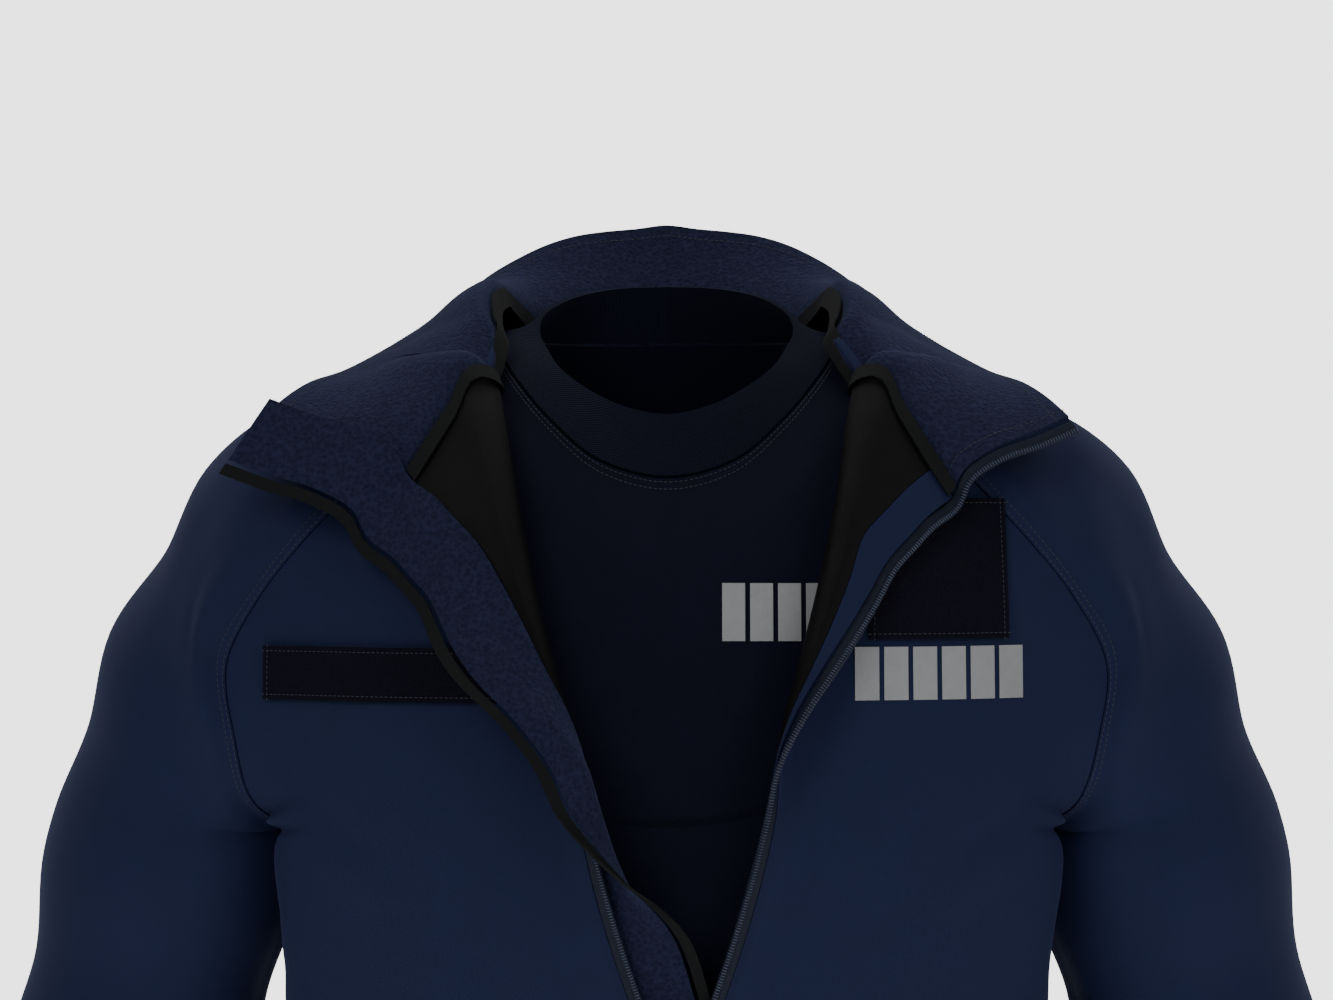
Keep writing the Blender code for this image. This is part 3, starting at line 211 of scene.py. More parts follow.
# The T-shirt's neckline seam and the rib's top edge, from the front middle to the back middle.
TSHIRT_NECK = table(
    "x y z", (0.0, -0.096, -0.074), (0.035, -0.090, -0.066), (0.066, -0.066, -0.044), (0.085, -0.028, -0.020),
    (0.086, 0.012, -0.008), (0.070, 0.050, -0.004), (0.038, 0.071, -0.002), (0.0, 0.077, -0.001)
)
RIB_TOP = table(
    "x y z", (0.0, -0.077, -0.046), (0.030, -0.070, -0.040), (0.054, -0.048, -0.023), (0.068, -0.014, -0.003),
    (0.066, 0.018, 0.012), (0.052, 0.046, 0.021), (0.028, 0.060, 0.026), (0.0, 0.064, 0.027)
)


# ---------------------------------------------------------------- curves and fields


def spline(at, knots, values):
    """A smooth curve through the values at the knots. Its slope at a knot follows the neighbours."""
    knots, values, at = (np.asarray(a, float) for a in (knots, values, at))
    slopes = np.gradient(values, knots, axis=0)
    k = np.clip(np.searchsorted(knots, at, side="right") - 1, 0, len(knots) - 2)
    span = knots[k + 1] - knots[k]
    t = np.clip((at - knots[k]) / span, 0, 1)
    if values.ndim > 1:
        span, t = span[..., None], t[..., None]
    return (
        (2 * t**3 - 3 * t**2 + 1) * values[k]
        + (t**3 - 2 * t**2 + t) * span * slopes[k]
        + (3 * t**2 - 2 * t**3) * values[k + 1]
        + (t**3 - t**2) * span * slopes[k + 1]
    )


def points_of(rows):
    """A table's x, y and z as an array of points."""
    return np.stack([rows["x"], rows["y"], rows["z"]], axis=1)


def lengths(points):
    """The distance along a line of points, from its start."""
    return np.concatenate([[0], np.cumsum(np.linalg.norm(np.diff(points, axis=0), axis=1))])


def smooth_line(points, count):
    """count + 1 points evenly along the smooth curve through these."""
    knots = lengths(points)
    fine = spline(np.linspace(0, knots[-1], 12 * len(points)), knots, points)
    return evenly(fine, count)


def evenly(points, count):
    """count + 1 points evenly along a line of points, with the same ends."""
    along = lengths(points)
    at = np.linspace(0, along[-1], count + 1)
    return np.stack([np.interp(at, along, points[:, i]) for i in range(3)], axis=1)


def ramp(value, low, high):
    """0 below low and 1 above high, with a smooth step between."""
    t = np.clip((value - low) / (high - low), 0, 1)
    return t * t * (3 - 2 * t)


def smooth_min(a, b, reach):
    """The lower of two fields, rounded where they are within this reach of each other."""
    t = np.clip(0.5 + 0.5 * (b - a) / reach, 0, 1)
    return b * (1 - t) + a * t - reach * t * (1 - t)


def smooth_max(a, b, reach):
    """The higher of two fields, rounded in the same way."""
    return -smooth_min(-a, -b, reach)


def gradient(field, points, step=0.4 * MM):
    """The field's slope at each point, from steps along the three axes."""
    parts = []
    for axis in range(3):
        shift = np.zeros(3)
        shift[axis] = step
        parts.append((field(points + shift) - field(points - shift)) / (2 * step))
    return np.stack(parts, axis=-1)


def normals_of(field, points):
    """The unit vectors that point out of the field at these points."""
    slope = gradient(field, points)
    return slope / np.linalg.norm(slope, axis=-1, keepdims=True)


def settle(field, points, turns=10, lift=1.0):
    """Moves the points along the field's slope until they lie where it is zero.

    With no lift they keep their height.
    """
    for _ in range(turns):
        slope = gradient(field, points)
        slope[..., 2] = slope[..., 2] * lift
        steepness = np.maximum((slope**2).sum(-1), 0.05)
        step = field(points) / steepness
        points = points - np.clip(step, -0.03, 0.03)[..., None] * slope
    return points


def torso(points):
    """About the distance to the torso, positive outside it."""
    z = points[..., 2]
    at = np.clip(-z, -TORSO["z"][0], -TORSO["z"][-1])
    names = ("width", "front", "back", "square")
    width, front, back, square = (spline(at, -TORSO["z"], TORSO[n]) for n in names)
    depth = np.where(points[..., 1] < 0, front, back)
    spread = np.abs(points[..., 0]) / width
    reach = np.abs(points[..., 1]) / depth
    share = (spread**square + reach**square + 1e-9) ** (1 / square)
    return np.hypot(points[..., 0], points[..., 1]) * (1 - 1 / share)


def arm(points):
    """The distance to the nearer sleeve's outside."""
    p = np.stack([np.abs(points[..., 0]), points[..., 1], points[..., 2]], axis=-1)
    joints = points_of(ARM)
    found = None
    for k in range(len(joints) - 1):
        run = joints[k + 1] - joints[k]
        t = np.clip(((p - joints[k]) @ run) / (run @ run), 0, 1)
        if k == len(joints) - 2:
            t = np.maximum(((p - joints[k]) @ run) / (run @ run), 0)
        radius = ARM["radius"][k] + t * (ARM["radius"][k + 1] - ARM["radius"][k])
        near = np.linalg.norm(p - joints[k] - t[..., None] * run, axis=-1) - radius
        found = near if found is None else smooth_min(found, near, ARM_BLEND)
    return found + ARM_BLEND / 6


def folds(points):
    """How far the largest folds stand above the cloth."""
    p = np.stack([np.abs(points[..., 0]), points[..., 1], points[..., 2]], axis=-1)
    total = np.zeros(p.shape[:-1])
    for k in range(len(FOLDS["x"])):
        run = np.array([FOLDS["run_x"][k], FOLDS["run_y"][k], FOLDS["run_z"][k]])
        run /= np.linalg.norm(run)
        away = p - np.array([FOLDS["x"][k], FOLDS["y"][k], FOLDS["z"][k]])
        along = away @ run
        across = np.linalg.norm(away - along[..., None] * run, axis=-1)
        shape = np.exp(-((along / FOLDS["length"][k]) ** 2) - (across / FOLDS["width"][k]) ** 2)
        total = total + FOLDS["height"][k] * shape
    return total


def joined(points, torso_in, arm_in, gap, raised):
    """The torso and the sleeves as one surface that parts at the underarm.

    Both are drawn in by a length of their own. Below the underarm the torso keeps the gap to the sleeve.
    """
    below = ramp(raised - points[..., 2], -ARMPIT_HIGH, -ARMPIT_LOW)
    sleeve = arm(points) + arm_in
    hollow = (gap + OVERLAP) * below - OVERLAP - sleeve
    body = smooth_max(torso(points) + torso_in, hollow, CARVE_BLEND)
    return smooth_min(body, sleeve, SHOULDER_BLEND + (UNDERARM_BLEND - SHOULDER_BLEND) * below)


def jacket(points):
    """Zero on the outside of the jacket's shell."""
    return joined(points, 0, 0, ARM_CLEARANCE, 0) - folds(points)


def hollowed(points):
    """The torso of the jacket alone, hollowed beside the arms."""
    below = ramp(-points[..., 2], -ARMPIT_HIGH, -ARMPIT_LOW)
    hollow = (ARM_CLEARANCE + OVERLAP) * below - OVERLAP - arm(points)
    return smooth_max(torso(points), hollow, CARVE_BLEND) - folds(points)


def jacket_sleeve(points):
    """Zero on the outside of the jacket's sleeve alone."""
    return arm(points) - folds(points)


def tshirt(points):
    """Zero on the outside of the T-shirt."""
    gap = TSHIRT_CLEARANCE + TSHIRT_ARM_OFFSET
    return joined(points, TSHIRT_OFFSET, TSHIRT_ARM_OFFSET, gap, TSHIRT_RAISED)


def tshirt_torso(points):
    """Zero on the T-shirt's body, which below the underarm keeps off the sleeve."""
    below = ramp(TSHIRT_RAISED - points[..., 2], -ARMPIT_HIGH, -ARMPIT_LOW)
    hollow = (TSHIRT_CLEARANCE + OVERLAP) * below - OVERLAP - arm(points)
    alone = smooth_max(torso(points) + TSHIRT_OFFSET, hollow, CARVE_BLEND)
    return below * alone + (1 - below) * tshirt(points)


def tshirt_sleeve(points):
    """Zero on the outside of the T-shirt's sleeve alone."""
    return arm(points) + TSHIRT_ARM_OFFSET


def on_front(field, x, z):
    """The point of the front that is seen at this width and height."""
    low, high = np.full(np.shape(x), -0.22), np.full(np.shape(x), -0.005)
    for _ in range(24):
        middle = (low + high) / 2
        outside = field(np.stack([x, middle, z], axis=-1)) > 0
        low, high = np.where(outside, middle, low), np.where(outside, high, middle)
    return np.stack([x, (low + high) / 2, z], axis=-1)


def mirrored(points, side):
    """The points on the wearer's left for side 1, or their mirror image for side -1."""
    return points * np.array([side, 1, 1])


# ---------------------------------------------------------------- cloth walls

# The softest creases that the large folds leave out: which side (0 is both), middle, direction, half
# length, half width and height above the cloth.
CREASES = table(
    "side x y z run_x run_y run_z length width height",
    (0, 0.186, -0.100, -0.245, -0.80, -0.30, -0.50, 0.040, 0.008, -0.0022),
    (0, 0.176, -0.108, -0.275, -0.85, -0.25, -0.35, 0.045, 0.009, 0.0020),
    (1, 0.165, -0.112, -0.305, -0.80, -0.20, -0.60, 0.040, 0.010, -0.0016),
    (-1, 0.160, -0.116, -0.330, -0.60, -0.10, -0.80, 0.050, 0.011, 0.0020),
    (0, 0.195, -0.070, -0.210, -0.20, -0.55, -0.80, 0.045, 0.007, -0.0018),
    (0, 0.226, -0.060, -0.225, 0.35, -0.20, -0.90, 0.050, 0.009, 0.0024),
    (0, 0.250, -0.062, -0.270, 0.20, -0.05, -0.95, 0.060, 0.010, -0.0020),
    (1, 0.235, -0.060, -0.330, 0.60, 0.00, -0.80, 0.045, 0.009, 0.0022),
    (-1, 0.240, -0.058, -0.350, 0.75, 0.00, -0.65, 0.045, 0.009, 0.0024),
    (0, 0.268, -0.062, -0.395, 0.95, 0.00, -0.30, 0.040, 0.008, -0.0024),
    (0, 0.310, -0.050, -0.420, 0.85, 0.40, 0.35, 0.040, 0.007, 0.0022),
    (0, 0.285, -0.075, -0.480, 0.95, 0.00, 0.30, 0.045, 0.008, -0.0022),
    (0, 0.300, -0.085, -0.520, 0.95, 0.10, -0.25, 0.045, 0.009, 0.0024),
    (0, 0.300, -0.088, -0.575, 0.97, 0.00, 0.20, 0.050, 0.009, -0.0020),
    (0, 0.260, 0.068, -0.300, 0.30, 0.10, -0.90, 0.060, 0.010, 0.0022),
    (0, 0.230, 0.070, -0.250, -0.40, 0.10, -0.85, 0.050, 0.009, -0.0020),
    (0, 0.300, 0.060, -0.410, 0.95, -0.20, 0.25, 0.045, 0.009, 0.0024),
    (0, 0.290, 0.040, -0.470, 0.95, -0.10, -0.30, 0.050, 0.009, -0.0024),
    (0, 0.170, 0.105, -0.240, -0.70, 0.15, -0.65, 0.060, 0.011, -0.0022),
    (0, 0.150, 0.112, -0.290, -0.75, 0.10, -0.60, 0.070, 0.012, 0.0024),
    (0, 0.080, 0.120, -0.380, -0.35, 0.00, -0.90, 0.090, 0.016, -0.0024),
    (0, 0.110, 0.112, -0.520, 0.25, 0.00, -0.95, 0.090, 0.016, 0.0028),
    (0, 0.040, 0.118, -0.600, 0.15, 0.00, -0.98, 0.080, 0.014, -0.0022),
    (0, 0.050, -0.130, -0.470, 0.60, 0.00, -0.80, 0.060, 0.012, 0.0022),
    (1, 0.090, -0.124, -0.520, 0.45, 0.00, -0.90, 0.070, 0.013, -0.0024),
    (-1, 0.100, -0.122, -0.500, 0.55, 0.00, -0.80, 0.070, 0.013, 0.0024),
    (0, 0.060, -0.128, -0.600, 0.20, 0.00, -0.95, 0.070, 0.014, 0.0024),
    (0, 0.120, -0.100, -0.330, 0.50, -0.05, 0.85, 0.070, 0.014, 0.0012),
)


def creases(points):
    """How far the soft creases stand above the cloth."""
    total = np.zeros(points.shape[:-1])
    for k in range(len(CREASES["x"])):
        side = CREASES["side"][k]
        for sign in ((1, -1) if side == 0 else (side,)):
            run = np.array([CREASES["run_x"][k] * sign, CREASES["run_y"][k], CREASES["run_z"][k]])
            run /= np.linalg.norm(run)
            middle = np.array([CREASES["x"][k] * sign, CREASES["y"][k], CREASES["z"][k]])
            middle = middle + np.array([0.004, 0, -0.007]) * (sign < 0) * math.sin(9 * k)
            away = points - middle
            along = away @ run
            across = np.linalg.norm(away - along[..., None] * run, axis=-1)
            shape = np.exp(-((along / CREASES["length"][k]) ** 2) - (across / CREASES["width"][k]) ** 2)
            total = total + CREASES["height"][k] * shape
    return total


def uneven(points, scale, height):
    """Smooth noise of this wavelength and height at each point."""
    flat = points.reshape(-1, 3) / scale
    values = np.array([noise.noise(Vector(p)) for p in flat])
    return height * values.reshape(points.shape[:-1])


def finer(times, grid, *others):
    """The grid with smooth rows and columns filled in: times of them for each. The others go with it."""
    found = [grid, *others]
    for axis in (0, 1):
        lines = [np.moveaxis(each, axis, 0) for each in found]
        span = np.linalg.norm(np.diff(lines[0], axis=0), axis=-1)[..., None] + 1e-7
        count, step = len(span), np.arange(times[axis]) / times[axis]
        filled = []
        for line in lines:
            chord = np.diff(line, axis=0) / span
            slope = np.concatenate([chord[:1], chord, chord[-1:]])
            before = np.concatenate([span[:1], span])
            after = np.concatenate([span, span[-1:]])
            slope = (slope[:-1] * after + slope[1:] * before) / (before + after)
            t = step[None, :, None, None]
            a, b = line[:-1, None], line[1:, None]
            m, n = (slope[:-1] * span)[:, None], (slope[1:] * span)[:, None]
            inner = ((2 * t**3 - 3 * t**2 + 1) * a + (t**3 - 2 * t**2 + t) * m
                     + (3 * t**2 - 2 * t**3) * b + (t**3 - t**2) * n)
            inner = inner.reshape(count * times[axis], *line.shape[1:])
            filled.append(np.concatenate([inner, line[-1:]]))
        found = [np.moveaxis(each, 0, axis) for each in filled]
    return found


def metres(grid, axis):
    """The distance along the rows or the columns of a grid, from its first point."""
    steps = np.linalg.norm(np.diff(grid, axis=axis), axis=-1)
    start = np.zeros_like(np.take(grid[..., 0], [0], axis=axis))
    return np.concatenate([start, np.cumsum(steps, axis=axis)], axis=axis)


def closed_wall(name, outer, inner, closed_from=None):
    """A closed mesh between two grids of points, with its rims filled and its cloth's lengths as its UVs."""
    rows, columns = outer.shape[:2]
    number = np.arange(rows * columns).reshape(rows, columns)
    shared = number.copy()
    if closed_from is not None:
        shared[closed_from:, -1] = shared[closed_from:, 0]
    total = rows * columns

    def loops(index):
        corners = [index[:-1, :-1], index[:-1, 1:], index[1:, 1:], index[1:, :-1]]
        return np.stack(corners, axis=-1).reshape(-1, 4)

    def rim(line):
        return np.stack([line[1:], line[:-1], line[:-1] + total, line[1:] + total], axis=-1)

    faces, places = [loops(shared), loops(shared)[:, ::-1] + total], [loops(number), loops(number)[:, ::-1]]
    stop = rows - 1 if closed_from is None else closed_from
    rims = [shared[0], shared[-1][::-1]]
    if stop:
        rims += [shared[:stop + 1, 0][::-1], shared[:stop + 1, -1]]
    for line in rims:
        faces.append(rim(line))
        places.append(rim(line) % total)
    faces, places = np.concatenate(faces), np.concatenate(places)
    used, faces = np.unique(faces, return_inverse=True)
    faces = faces.reshape(-1, 4)
    vertices = np.concatenate([outer.reshape(-1, 3), inner.reshape(-1, 3)])[used]
    a, b, c, d = (vertices[faces[:, k]] for k in range(4))
    if (np.cross(b - a, c - a) * a).sum() + (np.cross(c - a, d - a) * a).sum() < 0:
        faces, places = faces[:, ::-1], places[:, ::-1]
    mesh = bpy.data.meshes.new(name)
    mesh.from_pydata(vertices.tolist(), [], faces.tolist())
    across, down = metres(outer, 1).reshape(-1), metres(outer, 0).reshape(-1)
    uv = mesh.uv_layers.new(name="cloth")
    flat = np.stack([across[places], down[places]], axis=-1).astype(np.float32)
    uv.data.foreach_set("uv", flat.reshape(-1))
    mesh.shade_smooth()
    mesh.set_sharp_from_angle(angle=math.radians(50))
    thing = bpy.data.objects.new(name, mesh)
    bpy.context.scene.collection.objects.link(thing)
    return thing


FINE = {}
MADE = {}


def wall(name, outer, inner, closed_from=None):
    """The finished wall of a piece of cloth. FINE keeps its outer face and normals for what is sewn on."""
    times = TIMES.get(name, (6, 6))
    outer, inner = finer(times, outer, inner)
    across = outer - inner
    thickness = np.linalg.norm(across, axis=-1, keepdims=True)
    normals = across / np.maximum(thickness, 1e-9)
    middle = (outer + inner) / 2
    lift = uneven(middle, 0.055, 0.9 * MM)
    if name.startswith(("jacket", "lining", "zip", "name", "badge", "facing")):
        lift = lift + creases(middle)
    if name in ("collar_outer", "collar_fleece", "wind_flap"):
        lift = 0.6 * lift
    if name.startswith("tshirt"):
        lift = lift + TSHIRT_CREASE * np.sin(middle[..., 0] * 40 + middle[..., 2] * 25)
    swell = np.zeros(thickness.shape)
    for edge, width, height in RAISED.get(name, ()):
        from_edge = distance_from(middle, edge)
        swell = swell + height * (1 - ramp(from_edge, width * 0.8, width))[..., None]
    outer = outer + normals * (lift[..., None] + swell)
    inner = inner + normals * lift[..., None]
    if closed_from is not None:
        closed_from *= times[0]
    FINE[name] = (outer, normals)
    MADE[name] = closed_wall(name + "_cloth", outer, inner, closed_from)


def distance_from(grid, edge):
    """How far each point of a grid is from one of its edges, along its rows or columns."""
    axis = 0 if edge in ("top", "bottom") else 1
    along = metres(grid, axis)
    if edge in ("top", "left"):
        return along
    return np.take(along, [-1], axis=axis) - along


def sheet(name, grid, normals, low, high, closed_from=None):
    """A wall from this far to this far along the normals of a grid."""
    wall(name, grid + normals * high, grid + normals * low, closed_from)


def grid_normals(grid):
    """The normal at each point of a grid of points, from its neighbours in both directions."""
    normal = np.cross(np.gradient(grid, axis=1), np.gradient(grid, axis=0))
    return normal / np.maximum(np.linalg.norm(normal, axis=-1, keepdims=True), 1e-12)


def drawn_in(grid, first_row=0.0, first_column=0.0, last_column=0.0):
    """The grid with its outer rows and columns drawn in by these lengths."""
    grid = grid.copy()

    def pull(edge, neighbour, amount):
        run = neighbour - edge
        length = np.linalg.norm(run, axis=-1, keepdims=True)
        return edge + run / np.maximum(length, 1e-9) * np.minimum(amount, 0.45 * length)

    if first_row:
        grid[0] = pull(grid[0], grid[1], first_row)
    if first_column:
        grid[:, 0] = pull(grid[:, 0], grid[:, 1], first_column)
    if last_column:
        grid[:, -1] = pull(grid[:, -1], grid[:, -2], last_column)
    return grid


def lay(field, start, end, count, bow=None):
    """Rows of count + 1 points from each start to its end, evenly spaced along the field's surface.

    Where an end is off the surface, the points near it are led there.
    """
    share = np.linspace(0, 1, count + 1)[:, None]
    rows = start[:, None] + (end - start)[:, None] * share
    if bow is not None:
        rows = rows + bow * (1 - (2 * share - 1) ** 2)
    lift = ramp(end[:, 2], *LEVEL_ROWS)
    for _ in range(3):
        rows[:, 1:-1] = settle(field, rows[:, 1:-1], 5, lift[:, None])
        rows = np.array([evenly(row, count) for row in rows])
    rows[:, 1:-1] = settle(field, rows[:, 1:-1], 6, lift[:, None])
    for end_points, column in ((start, 0), (end, -1)):
        off = end_points - settle(field, end_points, 10, lift)
        near = ramp(share if column else 1 - share, 0.75, 1.1)
        rows[:, 1:-1] += (off[:, None] * near)[:, 1:-1]
    return rows


def kept_off(field, points, clearance):
    """The points, with those nearer the field's surface than this moved out to it."""
    def shifted(p):
        return np.minimum(field(p) - clearance, 0)

    return settle(shifted, points, 8)


# ---------------------------------------------------------------- the jacket's seams and edges


def underarm(field, high):
    """The point at which the torso and the sleeve part, straight above the gap between them."""
    low = UNDERARM_LOW
    for _ in range(24):
        middle = (low + high) / 2
        inside = field(np.array([[UNDERARM[0], UNDERARM[1], middle]]))[0] < 0
        low, high = (low, middle) if inside else (middle, high)
    return np.array([UNDERARM[0], UNDERARM[1], low])


def lay_panel(start, end, count, bow=None):
    """Rows on the front or the back. From the underarm down they turn into the gap beside the arm."""
    upper = lay(jacket, start, end, count, bow)
    lower = lay(hollowed, start, end, count, bow)
    return np.where((end[:, 2] < PANEL_TURNS_IN)[:, None, None], lower, upper)


def panel_normals(grid, end):
    """The normals of the rows that lay_panel made."""
    turned = (end[:, 2] < PANEL_TURNS_IN)[:, None, None]
    return np.where(turned, normals_of(hollowed, grid), normals_of(jacket, grid))


def raglan_seam(rows, end):
    """A raglan seam from the neck to the underarm, and its normals."""
    line = points_of(rows)
    line[-1] = end
    line = smooth_line(line, RAGLAN_ROWS)
    for _ in range(3):
        line[:-1] = settle(jacket, line[:-1])
        line = evenly(line, RAGLAN_ROWS)
    line[:-1] = settle(jacket, line[:-1])
    return line, normals_of(jacket, line)


def side_seam(start):
    """From the underarm down to the hem, at the rows' heights."""
    z = body_heights()
    y = np.linspace(start[1], 0, len(z))
    low, high = np.full(z.shape, 0.10), np.full(z.shape, 0.30)
    for _ in range(24):
        middle = (low + high) / 2
        at = np.stack([middle, y, z], axis=-1)
        inside = (torso(at) < 0) & (arm(at) > ARM_CLEARANCE)
        low, high = np.where(inside, middle, low), np.where(inside, high, middle)
    line = np.stack([low, y, z], axis=-1)
    line[1:] = settle(jacket, line[1:], 8)
    line[0] = start
    return line


def body_heights():
    """The heights of the rows below the underarm: first to the slider, then to the hem."""
    upper = np.linspace(ARMPIT_LOW, SLIDER_Z, V_ROWS + 1)
    return np.concatenate([upper, np.linspace(SLIDER_Z, HEM_Z, BODY_ROWS + 1)[1:]])


def edge_heights():
    """The heights at which the front's rows meet its front edge."""
    return np.concatenate([np.linspace(EDGE["z"][0], ARMPIT_LOW, RAGLAN_ROWS + 1), body_heights()[1:]])


def edge_row(z):
    """The front edge at this height: crest, length turned back, droop and turn."""
    at = -EDGE["z"]
    names = ("crest", "lapel", "droop", "turn")
    crest, lapel, droop, turn = (float(np.interp(-z, at, EDGE[n])) for n in names)
    if z > SLIDER_Z + 0.02:
        crest = float(spline(-z, at, EDGE["crest"]))
    return max(crest, 0.3 * MM), lapel, math.radians(droop), math.radians(max(turn, 0.5))


def tape_width(z):
    """How far the zip's tape and teeth stand out from the front edge at this height."""
    return TAPE_CLOSED + (TAPE_OPEN - TAPE_CLOSED) * float(ramp(z, SLIDER_Z - 0.01, SLIDER_Z + 0.05))


def place(rows, side):
    """Points on the chest for rows of flat ones: start, height and droop of the row, and for each
    point its distances outboard of the start and above the cloth."""
    start, z, droop = (np.array([row[i] for row in rows])[:, None] for i in range(3))
    flat = np.array([row[3] for row in rows])
    outboard, above = flat[..., 0], flat[..., 1]
    lean = np.where(outboard > 0, droop, 0.0)
    base = on_front(jacket, ZIP_X + side * (start + outboard * np.cos(lean)), z - outboard * np.sin(lean))
    return base + normals_of(jacket, base) * above[..., None]


def edge_start(z):
    """Where on the chest a row of the front edge starts, and the radius of its fold."""
    crest, lapel, droop, turn = edge_row(z)
    radius = FOLD_ARC / turn
    start = crest + radius * math.sin(min(turn, math.pi / 2))
    return start + max(math.cos(turn), 0) * (lapel + tape_width(z)), radius


def edge_grid(heights, side, distances, offsets):
    """Points of the front near its edge: how far each is from the edge, and how far outside the cloth.

    The distances are a function of a row's height that gives one number for each column.
    """
    rows = []
    for z in heights:
        _, lapel, droop, turn = edge_row(z)
        start, radius = edge_start(z)
        columns = distances(z)
        flat = []
        for distance, offset in zip(columns, np.broadcast_to(offsets, np.shape(columns))):
            angle = turn * float(np.clip(1 - (distance - lapel) / FOLD_ARC, 0, 1))
            at = np.array([-radius * math.sin(angle), radius * (1 - math.cos(angle))])
            heading = np.array([-math.cos(angle), math.sin(angle)])
            beyond = lapel - distance if distance < lapel else min(lapel + FOLD_ARC - distance, 0)
            flat.append(at + heading * beyond + np.array([math.sin(angle), math.cos(angle)]) * offset)
        rows.append((start, z, droop, flat))
    return place(rows, side)


def facing_width(z, width):
    """How far a facing reaches in from the edge. It stays on the part that is turned back."""
    return min(width, 0.6 * edge_row(z)[1])


def flap_grid(heights, side, distances, offset):
    """Points of the flap: how far each is from its sewn edge, and how far outside the cloth."""
    rows = []
    for z in heights:
        _, lapel, droop, turn = edge_row(z)
        start, radius = edge_start(z)
        extra = max(math.radians(float(np.interp(-z, -FLAP_TURN["z"], FLAP_TURN["turn"]))), 0.005)
        sewn = facing_width(z, FLAP_FACING)
        straight = sewn + tape_width(z) + 1.5 * MM
        bend = FLAP_ARC / extra
        heading = np.array([-math.cos(turn), math.sin(turn)])
        facing = np.array([math.sin(turn), math.cos(turn)])
        edge = np.array([-radius * math.sin(turn), radius * (1 - math.cos(turn))])
        edge = edge + heading * (lapel - sewn) - facing * FLAP_DEPTH
        flat = []
        for distance in distances:
            angle = turn + extra * float(np.clip((distance - straight) / FLAP_ARC, 0, 1))
            across = np.array([math.sin(angle), math.cos(angle)])
            at = edge + heading * min(distance, straight) - (across - facing) * bend
            at = at + np.array([-across[1], across[0]]) * max(distance - straight - FLAP_ARC, 0)
            flat.append(at + across * offset)
        rows.append((start, z, droop, flat))
    return place(rows, side)


def shell_columns(z):
    """The distances from the edge of the shell's columns: across the lapel, then round the fold."""
    lapel = edge_row(z)[1]
    flat = np.linspace(0, lapel, LAPEL_COLUMNS + 1)[:-1]
    return np.concatenate([flat, lapel + FOLD_ARC * np.linspace(0, 1, FOLD_COLUMNS + 1)])


def front_grids(side, seam, side_line):
    """The front's outer and inner faces, from the zip over the fold and the chest to the seams."""
    ends = mirrored(np.concatenate([seam[0], side_line[1:]]), side)
    end_normals = mirrored(np.concatenate([seam[1], normals_of(jacket, side_line[1:])]), side)
    outer = edge_grid(edge_heights(), side, shell_columns, 0)
    inner = edge_grid(edge_heights(), side, shell_columns, -SHELL)
    panel = lay_panel(outer[:, -1], ends, CHEST_COLUMNS)[:, 1:]
    normals = panel_normals(panel, ends)
    normals[:, -1] = end_normals
    return np.concatenate([outer, panel], axis=1), np.concatenate([inner, panel - normals * SHELL], axis=1)


def back_grid(seam, side_line):
    """The back, from the wearer's right seams to the left ones, and its normals."""
    ends = np.concatenate([seam[0], side_line[1:]])
    end_normals = np.concatenate([seam[1], normals_of(jacket, side_line[1:])])
    upper = np.linspace(ends[0, 2] - 6 * MM, ARMPIT_LOW, RAGLAN_ROWS + 1)
    middle = np.concatenate([upper, body_heights()[1:]])
    bow = np.stack([0 * middle, 0.125 - ends[:, 1], middle - ends[:, 2]], axis=-1)[:, None]
    grid = lay_panel(mirrored(ends, -1), ends, BACK_COLUMNS, bow)
    normals = panel_normals(grid, ends)
    normals[:, -1], normals[:, 0] = end_normals, mirrored(end_normals, -1)
    return grid, normals


def cast(field, centre, directions, reach=0.15):
    """Where rays from the centre leave the field."""
    low, high = np.zeros(len(directions)), np.full(len(directions), reach)
    for _ in range(26):
        middle = (low + high) / 2
        inside = field(centre + directions * middle[:, None]) < 0
        low, high = np.where(inside, middle, low), np.where(inside, high, middle)
    return centre + directions * low[:, None]


def unit(vector):
    """The vector at length 1."""
    return vector / np.linalg.norm(vector)


def swept(field, centre, start, middle, end, count, spread):
    """count + 1 points on the field from start past middle to end, as seen from the centre.

    The quarter points lie further back, or to the front, by the spread.
    """
    first, half, last = unit(start - centre), unit(middle - centre), unit(end - centre)
    front = unit(first + half + spread * (1, -1, 1))
    back = unit(half + last + spread)
    stops = [first, front, half, back, last]
    directions = []
    for a, b in zip(stops, stops[1:]):
        angle = math.acos(float(np.clip(a @ b, -1, 1)))
        for t in np.arange(8) / 8:
            directions.append((a * math.sin((1 - t) * angle) + b * math.sin(t * angle)) / math.sin(angle))
    line = evenly(cast(field, centre, np.array(directions + [last]), 0.085), count)
    share = np.linspace(0, 1, count + 1)[:, None]
    return line + (start - line[0]) * ramp(1 - share, 0.7, 1) + (end - line[-1]) * ramp(share, 0.7, 1)


